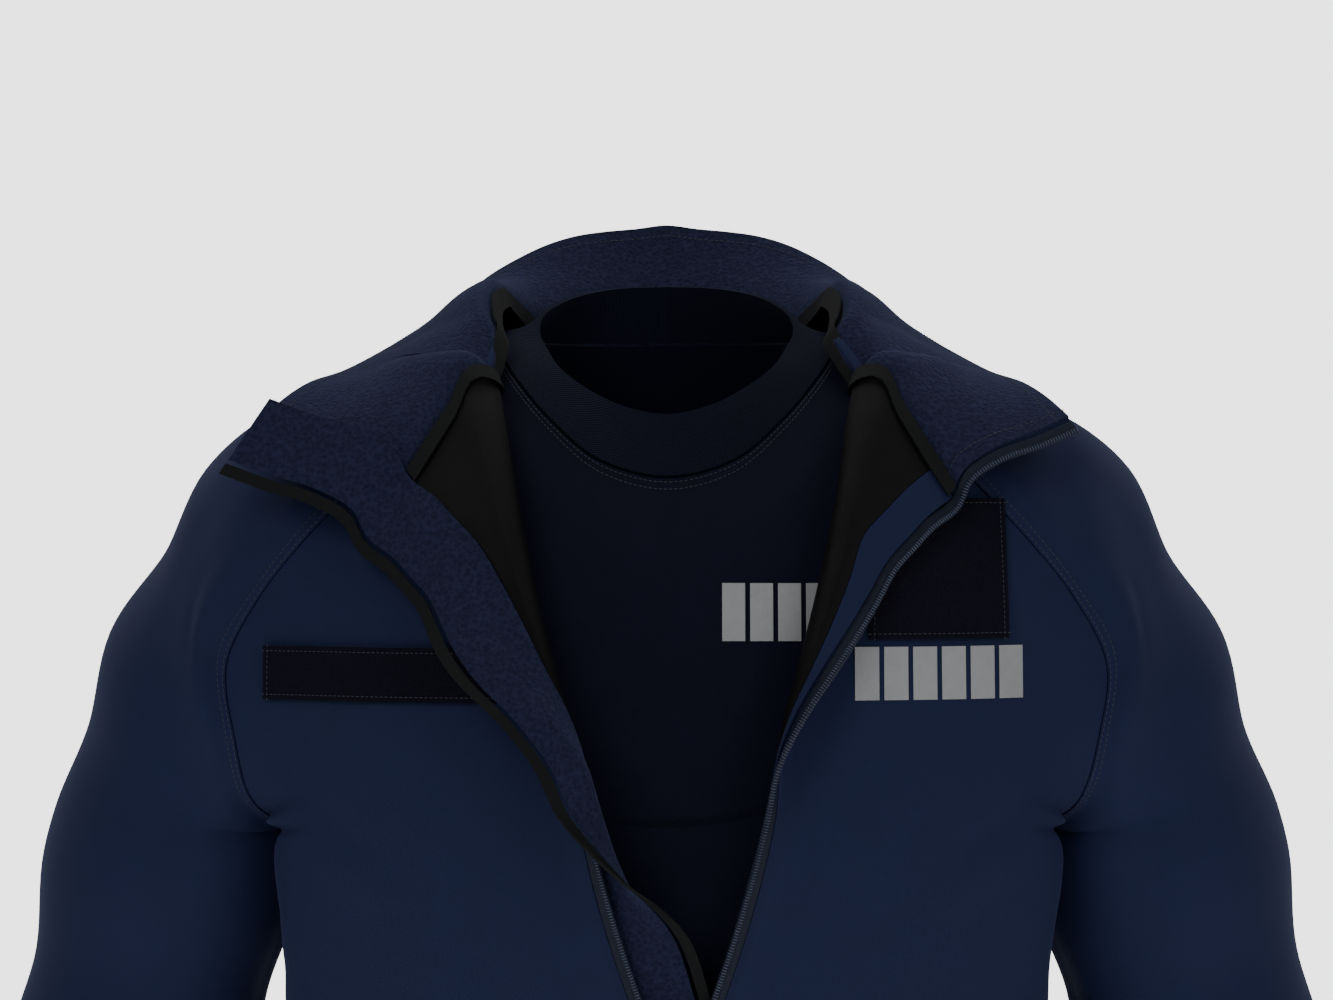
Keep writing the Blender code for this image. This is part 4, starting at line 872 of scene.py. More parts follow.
def sleeve_grid(front, back):
    """The sleeve of the wearer's left, and its normals. From the underarm down it is a tube."""
    joints, rows, normals = points_of(ARM), [], []
    shoulder = spline(np.linspace(0, 1, RAGLAN_ROWS + 1), SHOULDER["share"], points_of(SHOULDER))
    shoulder = settle(jacket, shoulder, 12)
    for k in range(RAGLAN_ROWS + 1):
        centre = shoulder[k] - normals_of(jacket, shoulder[k:k + 1])[0] * (0.045 + 0.022 * k / RAGLAN_ROWS)
        done = k / RAGLAN_ROWS
        spread = np.array([0, 0.1 + 0.9 * done**2, -0.6 * done**8])
        row = swept(jacket, centre, front[0][k], shoulder[k], back[0][k], SLEEVE_COLUMNS, spread)
        away = normals_of(jacket, row)
        away[0], away[-1] = front[1][k], back[1][k]
        rows.append(row)
        normals.append(away)
    knots = lengths(joints[3:])
    begin = knots[1] * 1.14
    for t in np.linspace(begin, knots[-1], SLEEVE_ROWS + 1):
        centre = spline(np.array(t), knots, joints[3:])
        run = unit(spline(np.array(min(t + 0.01, knots[-1])), knots, joints[3:])
                   - spline(np.array(t - 0.01), knots, joints[3:]))
        forward = unit(np.cross(run, (1, 0, 0)))
        outward = unit(np.cross(forward, run))
        forward, outward = -forward * np.sign(forward[1]), outward * np.sign(outward[0])
        angles = np.linspace(0, 2 * math.pi, SLEEVE_COLUMNS + 1)[:, None]
        row = cast(jacket_sleeve, centre, -outward * np.cos(angles) + forward * np.sin(angles))
        row[-1] = row[0]
        rows.append(row)
        normals.append(normals_of(jacket_sleeve, row))
    return np.array(rows), np.array(normals)


# ---------------------------------------------------------------- building


def build_jacket():
    """The fronts, the back and the sleeves, with the grids that the other pieces start from."""
    crotch = underarm(jacket, UNDERARM_HIGH)
    front_seam, back_seam = raglan_seam(RAGLAN_FRONT, crotch), raglan_seam(RAGLAN_BACK, crotch)
    side_line = side_seam(crotch)
    trim = SEAM_TRIM

    fronts = {}
    for side, name in ((1, "jacket_front_left"), (-1, "jacket_front_right")):
        outer, inner = front_grids(side, front_seam, side_line)
        fronts[side] = (outer, inner)
        wall(name, drawn_in(outer, last_column=trim, first_row=trim),
             drawn_in(inner, last_column=trim, first_row=trim))
    back, back_normals = back_grid(back_seam, side_line)
    sheet("jacket_back", drawn_in(back, first_row=trim, first_column=trim, last_column=trim), back_normals,
          -SHELL, 0)
    sleeve, sleeve_normals = sleeve_grid(front_seam, back_seam)
    for side, name in ((1, "jacket_sleeve_left"), (-1, "jacket_sleeve_right")):
        grid = sleeve.copy()
        top = drawn_in(grid[:RAGLAN_ROWS], first_row=NECK_TRIM, first_column=trim, last_column=trim)
        grid[:RAGLAN_ROWS] = top
        grid[RAGLAN_ROWS, 0] = grid[RAGLAN_ROWS, -1] = sleeve[RAGLAN_ROWS, 0] + (0.3 * MM, 0, -0.2 * MM)
        sheet(name, mirrored(grid, side), mirrored(sleeve_normals, side), -SHELL, 0, RAGLAN_ROWS)
    return fronts, back, back_normals, sleeve, sleeve_normals


def neckline(panels, row=0):
    """The neck seam, or a row below it, and its normals: from the right front round to the left front."""
    fronts, back, back_normals, sleeve, sleeve_normals = panels
    lines, normals = {}, {}
    for side in (1, -1):
        outer, inner = fronts[side]
        half = BACK_COLUMNS // 2
        line = [outer[row], mirrored(sleeve[row, 1:], side), mirrored(back[row, half:-1][::-1], side)]
        facing = [(outer[row] - inner[row]) / SHELL, mirrored(sleeve_normals[row, 1:], side),
                  mirrored(back_normals[row, half:-1][::-1], side)]
        lines[side], normals[side] = np.concatenate(line), np.concatenate(facing)
    return (np.concatenate([each[-1], each[1][::-1][1:]]) for each in (lines, normals))


def past_crest(count, columns):
    """For each column of the neck seam, 0 on the part turned back in front and 1 from here past the fold."""
    crest = LAPEL_COLUMNS + FOLD_COLUMNS // 2
    half = ramp(np.arange(count // 2 + 1), crest, crest + columns)
    return np.concatenate([half, half[::-1][1:]])[:, None]


def collar_grid(line, facing):
    """The collar from the neck seam to its top edge. It stands at the back and lies open in front."""
    half = len(line) // 2
    along = lengths(line[:half + 1]) / lengths(line[:half + 1])[-1]
    knots = lengths(points_of(COLLAR_TOP))
    top = spline(along * knots[-1], knots, points_of(COLLAR_TOP))
    top = np.concatenate([mirrored(top, -1), top[::-1][1:]])
    standing = past_crest(len(line), FOLD_COLUMNS // 2 + CHEST_COLUMNS)
    rolled = past_crest(len(line), FOLD_COLUMNS)
    away = line * np.array([1, 1, 0]) / np.linalg.norm(line[:, :2], axis=-1, keepdims=True)
    base = line + facing * standing * 0.5 * MM
    rows = []
    for share, rise, clearance in zip(COLLAR["share"], COLLAR["rise"], COLLAR["clearance"]):
        row = line * (1 - share) + top * share + np.array([0, 0, rise])
        rows.append(kept_off(jacket, row, clearance) if share else base)
    grid = np.array(rows)
    normals = grid_normals(grid)
    if (normals[1] * facing)[:LAPEL_COLUMNS].sum() < 0:
        normals = -normals
    normals[0] = facing * (1 - standing) + away * standing
    normals[1] = normals[1] + (0.6 * away - np.array([0, 0, 0.8])) * rolled
    return grid, normals / np.linalg.norm(normals, axis=-1, keepdims=True)


def build_binding(panels, collar, collar_normals):
    """The tape over the neck seam. Past the fold it lies on the inside of the collar alone."""
    seam, facing = neckline(panels)
    below, below_facing = neckline(panels, 1)
    behind = past_crest(len(seam), FOLD_COLUMNS // 2)
    rows, normals = [], []
    for start, start_facing, end, end_facing, reach in (
        (collar[0], collar_normals[0], collar[1], collar_normals[1], BINDING_HALF * (1 + 0.4 * behind)),
        (seam, facing, below, below_facing, BINDING_HALF * (1 - behind)),
    ):
        run = end - start
        share = reach / np.linalg.norm(run, axis=-1, keepdims=True)
        rows.append(start + run * share)
        normals.append(start_facing * (1 - share) + end_facing * share)
    rows[1] = rows[1] - (rows[0] - rows[1]) * BINDING_HANG * behind
    normals[1] = normals[1] * (1 - behind) + collar_normals[0] * behind
    normals = np.array(normals)
    normals /= np.linalg.norm(normals, axis=-1, keepdims=True)
    high = -(SHELL + LAYER_GAP + FLEECE + 3 * GAP)
    grid = drawn_in(np.array(rows), first_column=FLAP_FACING + 1 * MM, last_column=1 * MM)
    sheet("collar_binding", grid, normals, high - BINDING, high)


def above_front(side, grid, collar_edge, anchor):
    """The rows of a piece along the front edge, and more rows that carry it up the collar's front."""
    return np.concatenate([grid[:1] + (collar_edge[1:][::-1] - anchor)[:, None], grid])


def build_edges(collar):
    """The zip's two tapes, the facings and linings beside them, and the flap."""
    heights = edge_heights()
    opened = heights[heights > SLIDER_Z - 1e-6]
    lined = heights[heights > LINED_TO]
    inner_layer = SHELL + LAYER_GAP
    for side, word in ((1, "left"), (-1, "right")):
        edge = collar[:, -1 if side > 0 else 0]

        def columns(z):
            tape = tape_width(z)
            coil = tape - COIL_WIDTH
            return -np.array([0.3 * MM, coil, coil + 0.2 * MM, tape - 0.2 * MM, tape])

        anchor = edge_grid(heights[:1], side, lambda z: np.array([0.0]), 0)[0, 0]
        half = np.array([0.45, 0.45, 1.2, 1.2, 0.6]) * MM
        sides = [edge_grid(heights, side, columns, -SHELL / 2 + sign * half) for sign in (1, -1)]
        outer, inner = (above_front(side, grid, edge, anchor) for grid in sides)
        wall("zip_" + word, outer, inner)

        width = FACING_WIDTH if side > 0 else FLAP_FACING

        def lining_columns(z):
            lapel = edge_row(z)[1]
            flat = np.linspace(facing_width(z, width) + 0.3 * MM, lapel, 3)[:-1]
            fold = lapel + FOLD_ARC * np.linspace(0, 1, FOLD_COLUMNS + 1)
            return np.concatenate([flat, fold, lapel + FOLD_ARC + np.array([7, 14]) * MM])

        sides = [edge_grid(lined, side, lining_columns, -inner_layer - depth) for depth in (0, LINING)]
        outer, inner = (drawn_in(grid, first_row=1 * MM) for grid in sides)
        wall("lining_" + word, outer, inner)

    def facing_columns(z):
        return np.linspace(0.3 * MM, facing_width(z, FACING_WIDTH), 3)

    sides = [edge_grid(lined, 1, facing_columns, -inner_layer - depth) for depth in (0, LINING)]
    outer, inner = (drawn_in(grid, first_row=1 * MM) for grid in sides)
    wall("facing_left", outer, inner)

    edge = collar[:, 0]
    anchor = edge_grid(heights[:1], -1, lambda z: np.array([0.0]), 0)[0, 0]
    width = FLAP_FACING + FLAP_WIDTH
    for name, distances, thickness in (
        ("wind_flap", np.linspace(0, width, 7), FLEECE),
        ("wind_flap_binding", np.array([width + 2.2 * MM, width + FLAP_BINDING]), FLEECE + 0.7 * MM),
    ):
        sides = [flap_grid(opened, -1, distances, sign * thickness / 2) for sign in (1, -1)]
        outer, inner = (above_front(-1, grid, edge, anchor) for grid in sides)
        rows = len(edge) - 1
        for k in range(rows):
            lift = kept_off(jacket, (outer[k] + inner[k]) / 2, 4 * MM) - (outer[k] + inner[k]) / 2
            outer[k] += lift
            inner[k] += lift
        wall(name, outer, inner)


def build_patch(name, centre_x, centre_z, width, height, columns, rows):
    """A rectangle of loop tape sewn on the chest, given by its middle and size as seen from the front."""
    x = centre_x + width * (np.linspace(-0.5, 0.5, columns + 1))[None, :] + np.zeros((rows + 1, 1))
    z = centre_z - height * (np.linspace(-0.5, 0.5, rows + 1))[:, None] + np.zeros((1, columns + 1))
    grid = on_front(jacket, x, z)
    sheet(name, grid, normals_of(jacket, grid), 1.0 * MM, 1.0 * MM + LOOP_TAPE)


def coons(top, bottom, left, right):
    """A grid filled in between four edges that meet at their ends."""
    u = np.linspace(0, 1, len(top))[None, :, None]
    v = np.linspace(0, 1, len(left))[:, None, None]
    grid = (1 - v) * top[None] + v * bottom[None] + (1 - u) * left[:, None] + u * right[:, None]
    corners = ((1 - u) * (1 - v) * top[0] + u * (1 - v) * top[-1]
               + (1 - u) * v * bottom[0] + u * v * bottom[-1])
    return grid - corners


def build_tshirt():
    """The T-shirt's front, back, sleeves and neck rib."""
    neck = points_of(TSHIRT_NECK)
    neck = settle(tshirt, neck, 12)
    tip = settle(tshirt, np.array([TSHIRT_SHOULDER]), 12)[0]
    crotch = underarm(tshirt, TSHIRT_UNDERARM_HIGH)
    loop, sides = {}, {}
    for sign in (-1, 1):
        hole = np.array([tip, (0.178, sign * 0.048, -0.125), (0.186, sign * 0.060, -0.165),
                         (0.190, sign * 0.050, -0.215), crotch])
        hole = smooth_line(hole, 5)
        hole[1:-1] = settle(tshirt, hole[1:-1], 12)
        loop[sign] = hole
    z = np.linspace(crotch[2], TSHIRT_HEM_Z, 6)[1:]
    low, high = np.full(z.shape, 0.08), np.full(z.shape, 0.30)
    for _ in range(24):
        middle = (low + high) / 2
        at = np.stack([middle, TSHIRT_SIDE_Y + 0 * z, z], axis=-1)
        inside = (torso(at) < -TSHIRT_OFFSET) & (arm(at) > TSHIRT_CLEARANCE)
        low, high = np.where(inside, middle, low), np.where(inside, high, middle)
    side = np.stack([low, TSHIRT_SIDE_Y + 0 * z, z], axis=-1)
    halves = {}
    split = int(np.argmin(np.abs(neck[:, 1] - 0.0) + 10 * (neck[:, 0] < 0.06)))
    for sign, name in ((-1, "tshirt_front"), (1, "tshirt_back")):
        half = neck[:split + 1] if sign < 0 else neck[split:][::-1]
        half = evenly(half, 5)
        halves[sign] = half
        seam = lay(tshirt, neck[split][None], tip[None], 2)[0]
        top = np.concatenate([half, seam[1:]])
        top = np.concatenate([mirrored(top, -1)[::-1], top[1:]])
        edge = np.concatenate([loop[sign], side])
        hem_z = side[-1, 2]
        across = np.linspace(-1, 1, len(top))
        angle = across * math.pi / 2
        sideways, forward = edge[-1, 0] * np.sin(angle), sign * 0.10 * np.cos(angle)
        bottom = np.stack([sideways, forward, hem_z + 0 * angle], axis=-1)
        bottom[0], bottom[-1] = mirrored(edge[-1], -1), edge[-1]
        grid = coons(top, bottom, mirrored(edge, -1), edge)
        bow = np.sin(np.linspace(0, math.pi, len(top)))[None, :]
        bow = bow * np.sin(np.linspace(0, math.pi / 2, len(edge)))[:, None]
        grid[..., 1] += sign * 0.05 * bow
        grid[1:, 1:-1] = settle(tshirt_torso, grid[1:, 1:-1], 14)
        normals = normals_of(tshirt_torso, grid)
        grid = drawn_in(grid, first_row=0.2 * MM, first_column=0.2 * MM, last_column=0.2 * MM)
        sheet(name, grid, normals, -JERSEY, 0)
    ring = np.concatenate([loop[-1][::-1], loop[1][1:]])
    count = len(ring) - 1
    joints = points_of(ARM)
    centre = joints[4] + (joints[3] - joints[4]) * 0.05
    run = unit(joints[4] - joints[3])
    forward = unit(np.cross(run, (1, 0, 0)))
    outward = unit(np.cross(forward, run))
    forward, outward = -forward * np.sign(forward[1]), outward * np.sign(outward[0])
    angles = np.linspace(0, 2 * math.pi, count + 1)[:, None]
    cuff = cast(tshirt_sleeve, centre, -outward * np.cos(angles) + forward * np.sin(angles))
    grid = np.array([ring * (1 - t) + cuff * t for t in np.linspace(0, 1, 5)])
    grid[1:-1] = settle(tshirt_sleeve, grid[1:-1], 10)
    grid[:, -1] = grid[:, 0]
    normals = normals_of(tshirt_sleeve, grid)
    normals[0] = normals_of(tshirt, grid[0])
    grid = drawn_in(grid, first_row=0.35 * MM)
    for side_sign, name in ((1, "tshirt_sleeve_left"), (-1, "tshirt_sleeve_right")):
        sheet(name, mirrored(grid, side_sign), mirrored(normals, side_sign), -JERSEY, 0, 0)
    seam = np.concatenate([halves[-1], halves[1][::-1][1:]])
    top = evenly(points_of(RIB_TOP), len(seam) - 1)
    seam = np.concatenate([mirrored(seam, -1)[::-1], seam[1:]])
    top = np.concatenate([mirrored(top, -1)[::-1], top[1:]])
    middle = (seam + top) / 2
    grid = np.array([seam, middle, top])
    closed = np.concatenate([grid[:, -2:-1], grid, grid[:, 1:2]], axis=1)
    normals = grid_normals(closed)[:, 1:-1]
    if (normals[:, :, 1] * grid[:, :, 1]).sum() < 0:
        normals = -normals
    grid = drawn_in(grid, first_row=1.2 * MM)
    sheet("tshirt_rib", grid, normals, -RIB / 2 - 0.3 * MM, RIB / 2 - 0.3 * MM, 0)


# ---------------------------------------------------------------- how finely each piece is made

TSHIRT_CREASE = 0.6 * MM
TIMES = {
    "jacket_front_left": (7, 6), "jacket_front_right": (7, 6), "jacket_back": (7, 7),
    "jacket_sleeve_left": (8, 6), "jacket_sleeve_right": (8, 6), "collar_outer": (6, 3),
    "collar_fleece": (8, 4), "collar_binding": (2, 4), "zip_left": (5, 1), "zip_right": (5, 1),
    "lining_left": (6, 3),
    "lining_right": (6, 3), "facing_left": (6, 2), "wind_flap": (6, 4), "wind_flap_binding": (6, 4),
    "name_strip_loop": (10, 10), "badge_patch_loop": (8, 8), "tshirt_front": (7, 7), "tshirt_back": (7, 7),
    "tshirt_sleeve_left": (6, 6), "tshirt_sleeve_right": (6, 6), "tshirt_rib": (4, 6), "neck_tape": (2, 5),
}
SEAM_WIDTH, SEAM_HEIGHT = 7.5 * MM, 0.8 * MM
RAISED = {
    "jacket_sleeve_left": (("left", SEAM_WIDTH, SEAM_HEIGHT), ("right", SEAM_WIDTH, SEAM_HEIGHT)),
    "jacket_sleeve_right": (("left", SEAM_WIDTH, SEAM_HEIGHT), ("right", SEAM_WIDTH, SEAM_HEIGHT)),
}


# ---------------------------------------------------------------- materials


class Value:
    """A number or colour inside a material's nodes. Arithmetic on it adds the nodes that work it out."""

    def __init__(self, look, socket):
        self.look, self.socket = look, socket

    def maths(self, operation, *others):
        """A Math node on this value and the others."""
        return self.look.node("ShaderNodeMath", (self, *others), operation=operation)

    def __add__(self, other):
        return self.maths("ADD", other)

    def __sub__(self, other):
        return self.maths("SUBTRACT", other)

    def __mul__(self, other):
        return self.maths("MULTIPLY", other)

    def __rmul__(self, other):
        return self.maths("MULTIPLY", other)

    def __radd__(self, other):
        return self.maths("ADD", other)

    def __rsub__(self, other):
        return self.maths("MULTIPLY", -1).maths("ADD", other)

    def sin(self):
        return self.maths("SINE")

    def clipped(self, low, high):
        """0 at low and below, 1 at high and above."""
        return self.look.node("ShaderNodeMapRange", (self, low, high))


class Look:
    """A material made of nodes, with one Principled shader."""

    def __init__(self, name, **constants):
        self.material = bpy.data.materials.new(name)
        self.material.use_nodes = True
        self.tree = self.material.node_tree
        self.shader = self.tree.nodes["Principled BSDF"]
        for key, value in constants.items():
            self.shader.inputs[key.replace("_", " ")].default_value = value

    def node(self, kind, inputs=(), output=0, **settings):
        """Adds any node. Its inputs are values of this look, numbers or colours, by number or by name."""
        node = self.tree.nodes.new(kind)
        for key, value in settings.items():
            setattr(node, key, value)
        named = inputs.items() if isinstance(inputs, dict) else enumerate(inputs)
        for key, value in named:
            self.set(node.inputs[key], value)
        return Value(self, node.outputs[output])

    def set(self, socket, value):
        """Links a value to a socket, or sets the socket to a number or colour."""
        if isinstance(value, Value):
            self.tree.links.new(value.socket, socket)
        else:
            socket.default_value = value

    def cloth(self):
        """The lengths along and down the cloth, in metres."""
        place = self.node("ShaderNodeUVMap", uv_map="cloth")
        parts = self.node("ShaderNodeSeparateXYZ", (place,))
        return parts, Value(self, parts.socket.node.outputs[1])

    def place(self):
        """Where a point is in the object's own metres."""
        return self.node("ShaderNodeTexCoord", output="Object")

    def grain(self, scale, detail=3.0, roughness=0.6):
        """Noise from 0 to 1 with this many blots in a metre."""
        sockets = {"Vector": self.place(), "Scale": scale, "Detail": detail, "Roughness": roughness}
        return self.node("ShaderNodeTexNoise", sockets)

    def cells(self, scale):
        """Rounded cells, this many in a metre."""
        return self.node("ShaderNodeTexVoronoi", {"Vector": self.place(), "Scale": scale})

    def between(self, share, first, second):
        """A colour from first to second."""
        return self.node("ShaderNodeMix", {0: share, 6: (*first, 1), 7: (*second, 1)}, 2, data_type="RGBA")

    def colour(self, value):
        self.set(self.shader.inputs["Base Color"], value)

    def rough(self, value):
        self.set(self.shader.inputs["Roughness"], value)

    def relief(self, height, depth, strength=1.0):
        """Raises the surface by the height, which runs from 0 to 1, times this depth in metres."""
        bump = self.node("ShaderNodeBump", {"Height": height, "Distance": depth, "Strength": strength})
        self.set(self.shader.inputs["Normal"], bump)


def navy(name, sheen, specular, spread=0.4):
    """A look for navy cloth, with a faint blue sheen."""
    return Look(name, Sheen_Weight=sheen, Sheen_Roughness=spread, Sheen_Tint=(0.35, 0.42, 0.85, 1),
                Specular_IOR_Level=specular)


def waves(value, pitch):
    """From 0 to 1 and back once in each pitch."""
    return (value * (2 * math.pi / pitch)).sin() * 0.5 + 0.5


def softshell():
    """A fine weave under a matt face, mottled a little."""
    look = navy("softshell", 0.06, 0.14)
    across, down = look.cloth()
    weave = waves(across + down, 0.9 * MM) * waves(across - down, 0.9 * MM)
    blotch = look.grain(38, 4)
    speck = look.grain(2400, 2)
    look.colour(look.between(blotch * 0.5 + speck * 0.5, (0.0055, 0.0088, 0.031), (0.0088, 0.0135, 0.047)))
    look.rough(blotch * 0.14 + 0.74)
    look.relief(weave * 0.6 + speck * 0.4, 0.10 * MM, 0.7)
    return look.material


def fleece():
    """Brushed nap in small clumps and pills."""
    look = navy("fleece", 0.10, 0.1)
    clumps = look.grain(520, 5, 0.7)
    pills = look.cells(430)
    patches = look.grain(60, 3)
    nap = clumps * 0.7 + pills * 0.45
    look.colour(look.between(nap.clipped(0.25, 0.85), (0.0040, 0.0048, 0.0155), (0.0150, 0.0175, 0.047)))
    look.rough(patches * 0.1 + 0.88)
    look.relief(nap, 1.1 * MM, 1.0)
    return look.material


def lining():
    """A smooth dark knit."""
    look = Look("lining", Specular_IOR_Level=0.12)
    across, down = look.cloth()
    knit = waves(across, 1.1 * MM) * waves(down, 1.4 * MM)
    blotch = look.grain(45, 3)
    look.colour(look.between(blotch, (0.0010, 0.0009, 0.0014), (0.0020, 0.0018, 0.0026)))
    look.rough(blotch * 0.2 + 0.55)
    look.relief(knit, 0.12 * MM, 0.7)
    return look.material


def binding():
    """Ribbed black tape."""
    look = Look("binding", Specular_IOR_Level=0.15)
    across, down = look.cloth()
    ribs = waves(down, 0.8 * MM) * 0.6 + waves(across, 0.8 * MM) * 0.4
    grain = look.grain(700, 2)
    look.colour(look.between(grain, (0.0013, 0.0016, 0.0020), (0.0028, 0.0033, 0.0040)))
    look.rough(grain * 0.2 + 0.62)
    look.relief(ribs, 0.16 * MM, 0.8)
    return look.material


def loop_tape():
    """The dense pile of hook-and-loop tape."""
    look = navy("loop_tape", 0.03, 0.08, 0.5)
    pile = look.cells(900) * 0.6 + look.grain(1500, 4, 0.75) * 0.6
    rows = waves(look.cloth()[1], 2.4 * MM)
    look.colour(look.between(pile.clipped(0.2, 0.9), (0.0012, 0.0012, 0.0027), (0.0050, 0.0045, 0.0105)))
    look.rough(pile * 0.1 + 0.85)
    look.relief(pile + rows * 0.05, 0.6 * MM, 1.0)
    return look.material


def jersey(name="jersey", wale=0.75 * MM, depth=0.12 * MM, courses=0.25):
    """A plain knit: wales down the cloth and courses across it."""
    look = navy(name, 0.03, 0.1)
    across, down = look.cloth()
    stitches = waves(across, wale) * (1 - courses) + waves(down, 1.1 * MM) * courses
    fuzz = look.grain(1800, 3)
    blotch = look.grain(50, 3)
    look.colour(look.between(blotch * 0.5 + fuzz * 0.5, (0.0020, 0.0024, 0.0082), (0.0040, 0.0048, 0.0145)))
    look.rough(fuzz * 0.1 + 0.82)
    look.relief(stitches * 0.8 + fuzz * 0.3, depth, 0.9)
    return look.material


def rib_knit():
    """The neck rib, in broad wales."""
    return jersey("rib_knit", 2.2 * MM, 0.45 * MM, 0.0)


def zip_tape():
    """Woven tape with a zigzag."""
    look = Look("zip_tape", Specular_IOR_Level=0.2)
    across, down = look.cloth()
    zigzag = waves(down + waves(across, 1.6 * MM) * (0.8 * MM), 0.8 * MM)
    look.colour(look.between(zigzag, (0.0030, 0.0045, 0.0120), (0.0075, 0.0110, 0.0270)))
    look.rough(zigzag * 0.15 + 0.55)
    look.relief(zigzag, 0.12 * MM, 0.8)
    return look.material


def zip_coil():
    """The nylon of the teeth."""
    look = Look("zip_coil", Coat_Weight=0.2)
    grain = look.grain(900, 2)
    look.colour(look.between(grain, (0.020, 0.030, 0.070), (0.036, 0.050, 0.105)))
    look.rough(grain * 0.15 + 0.34)
    look.relief(grain, 0.05 * MM, 0.4)
    return look.material


def thread(name, dark, light):
    """Twisted sewing thread."""
    look = Look(name)
    twist = look.grain(2600, 2)
    look.colour(look.between(twist, dark, light))
    look.rough(twist * 0.2 + 0.5)
    look.relief(twist, 0.08 * MM, 0.6)
    return look.material


def reflective():
    """Silver transfer film with tiny beads, worn a little."""
    look = Look("reflective", Metallic=0.25)
    beads = look.cells(2600)
    wear = look.grain(140, 4)
    look.colour(look.between(wear * 0.6 + beads * 0.5, (0.165, 0.170, 0.178), (0.265, 0.270, 0.280)))
    look.rough(wear * 0.2 + 0.42)
    look.relief(beads, 0.08 * MM, 0.7)
    return look.material


def dark_metal():
    """The blackened metal of the slider and its tab."""
    look = Look("zip_metal", Metallic=0.7)
    wear = look.grain(900, 5, 0.7)
    look.colour(look.between(wear.clipped(0.45, 0.75), (0.020, 0.021, 0.024), (0.085, 0.085, 0.090)))
    look.rough(wear * 0.25 + 0.28)
    look.relief(wear, 0.06 * MM, 0.5)
    return look.material


LOOKS = {
    "softshell": softshell(), "fleece": fleece(), "lining": lining(), "binding": binding(),
    "loop_tape": loop_tape(), "jersey": jersey(), "rib_knit": rib_knit(), "zip_tape": zip_tape(),
    "zip_coil": zip_coil(), "reflective": reflective(), "zip_metal": dark_metal(),
    "thread": thread("thread", (0.006, 0.009, 0.024), (0.014, 0.020, 0.046)),
    "dark_thread": thread("dark_thread", (0.0035, 0.0045, 0.0110), (0.0085, 0.0105, 0.0230)),
}

# The slot of each piece of cloth.
SLOTS = {
    "jacket_front_left": "softshell", "jacket_front_right": "softshell", "jacket_back": "softshell",
    "jacket_sleeve_left": "softshell", "jacket_sleeve_right": "softshell", "collar_outer": "softshell",
    "facing_left": "softshell", "collar_fleece": "fleece", "wind_flap": "fleece", "collar_binding": "binding",
    "wind_flap_binding": "binding", "zip_left": "zip_tape", "zip_right": "zip_tape", "lining_left": "lining",
    "lining_right": "lining", "name_strip_loop": "loop_tape", "badge_patch_loop": "loop_tape",
    "tshirt_front": "jersey", "tshirt_back": "jersey", "tshirt_sleeve_left": "jersey",
    "tshirt_sleeve_right": "jersey", "tshirt_rib": "rib_knit", "neck_tape": "binding",
}


# ---------------------------------------------------------------- repeats


def beads_tree(name, material):
    """Nodes that put a small rounded bead every so far along each line of a mesh."""
    tree = bpy.data.node_groups.new(name, "GeometryNodeTree")
    tree.interface.new_socket("Geometry", in_out="INPUT", socket_type="NodeSocketGeometry")
    tree.interface.new_socket("Spacing", in_out="INPUT", socket_type="NodeSocketFloat")
    tree.interface.new_socket("Size", in_out="INPUT", socket_type="NodeSocketVector")
    tree.interface.new_socket("Geometry", in_out="OUTPUT", socket_type="NodeSocketGeometry")

    def add(kind, **settings):
        node = tree.nodes.new(kind)
        for key, value in settings.items():
            setattr(node, key, value)
        return node

    def join(start, output, end, socket):
        tree.links.new(start.outputs[output], end.inputs[socket])

    given, result = add("NodeGroupInput"), add("NodeGroupOutput")
    curve, even = add("GeometryNodeMeshToCurve"), add("GeometryNodeResampleCurve", mode="LENGTH")
    bead = add("GeometryNodeMeshIcoSphere")
    bead.inputs["Subdivisions"].default_value = 2
    bead.inputs["Radius"].default_value = 0.5
    tangent = add("GeometryNodeInputTangent")
    up = add("GeometryNodeInputNamedAttribute", data_type="FLOAT_VECTOR")
    up.inputs["Name"].default_value = "up"
    along = add("FunctionNodeAlignRotationToVector", axis="Y")
    level = add("FunctionNodeAlignRotationToVector", axis="Z", pivot_axis="Y")
    place = add("GeometryNodeInstanceOnPoints")
    real, paint = add("GeometryNodeRealizeInstances"), add("GeometryNodeSetMaterial")
    smooth = add("GeometryNodeSetShadeSmooth")
    paint.inputs["Material"].default_value = material
    join(given, "Geometry", curve, "Mesh")
    join(curve, "Curve", even, "Curve")
    join(given, "Spacing", even, "Length")
    join(tangent, "Tangent", along, "Vector")
    join(along, "Rotation", level, "Rotation")
    join(up, "Attribute", level, "Vector")
    join(even, "Curve", place, "Points")
    join(bead, "Mesh", place, "Instance")
    join(level, "Rotation", place, "Rotation")
    join(given, "Size", place, "Scale")
    join(place, "Instances", real, "Geometry")
    join(real, "Geometry", smooth, "Geometry")
    join(smooth, "Geometry", paint, "Geometry")
    join(paint, "Geometry", result, "Geometry")
    return tree


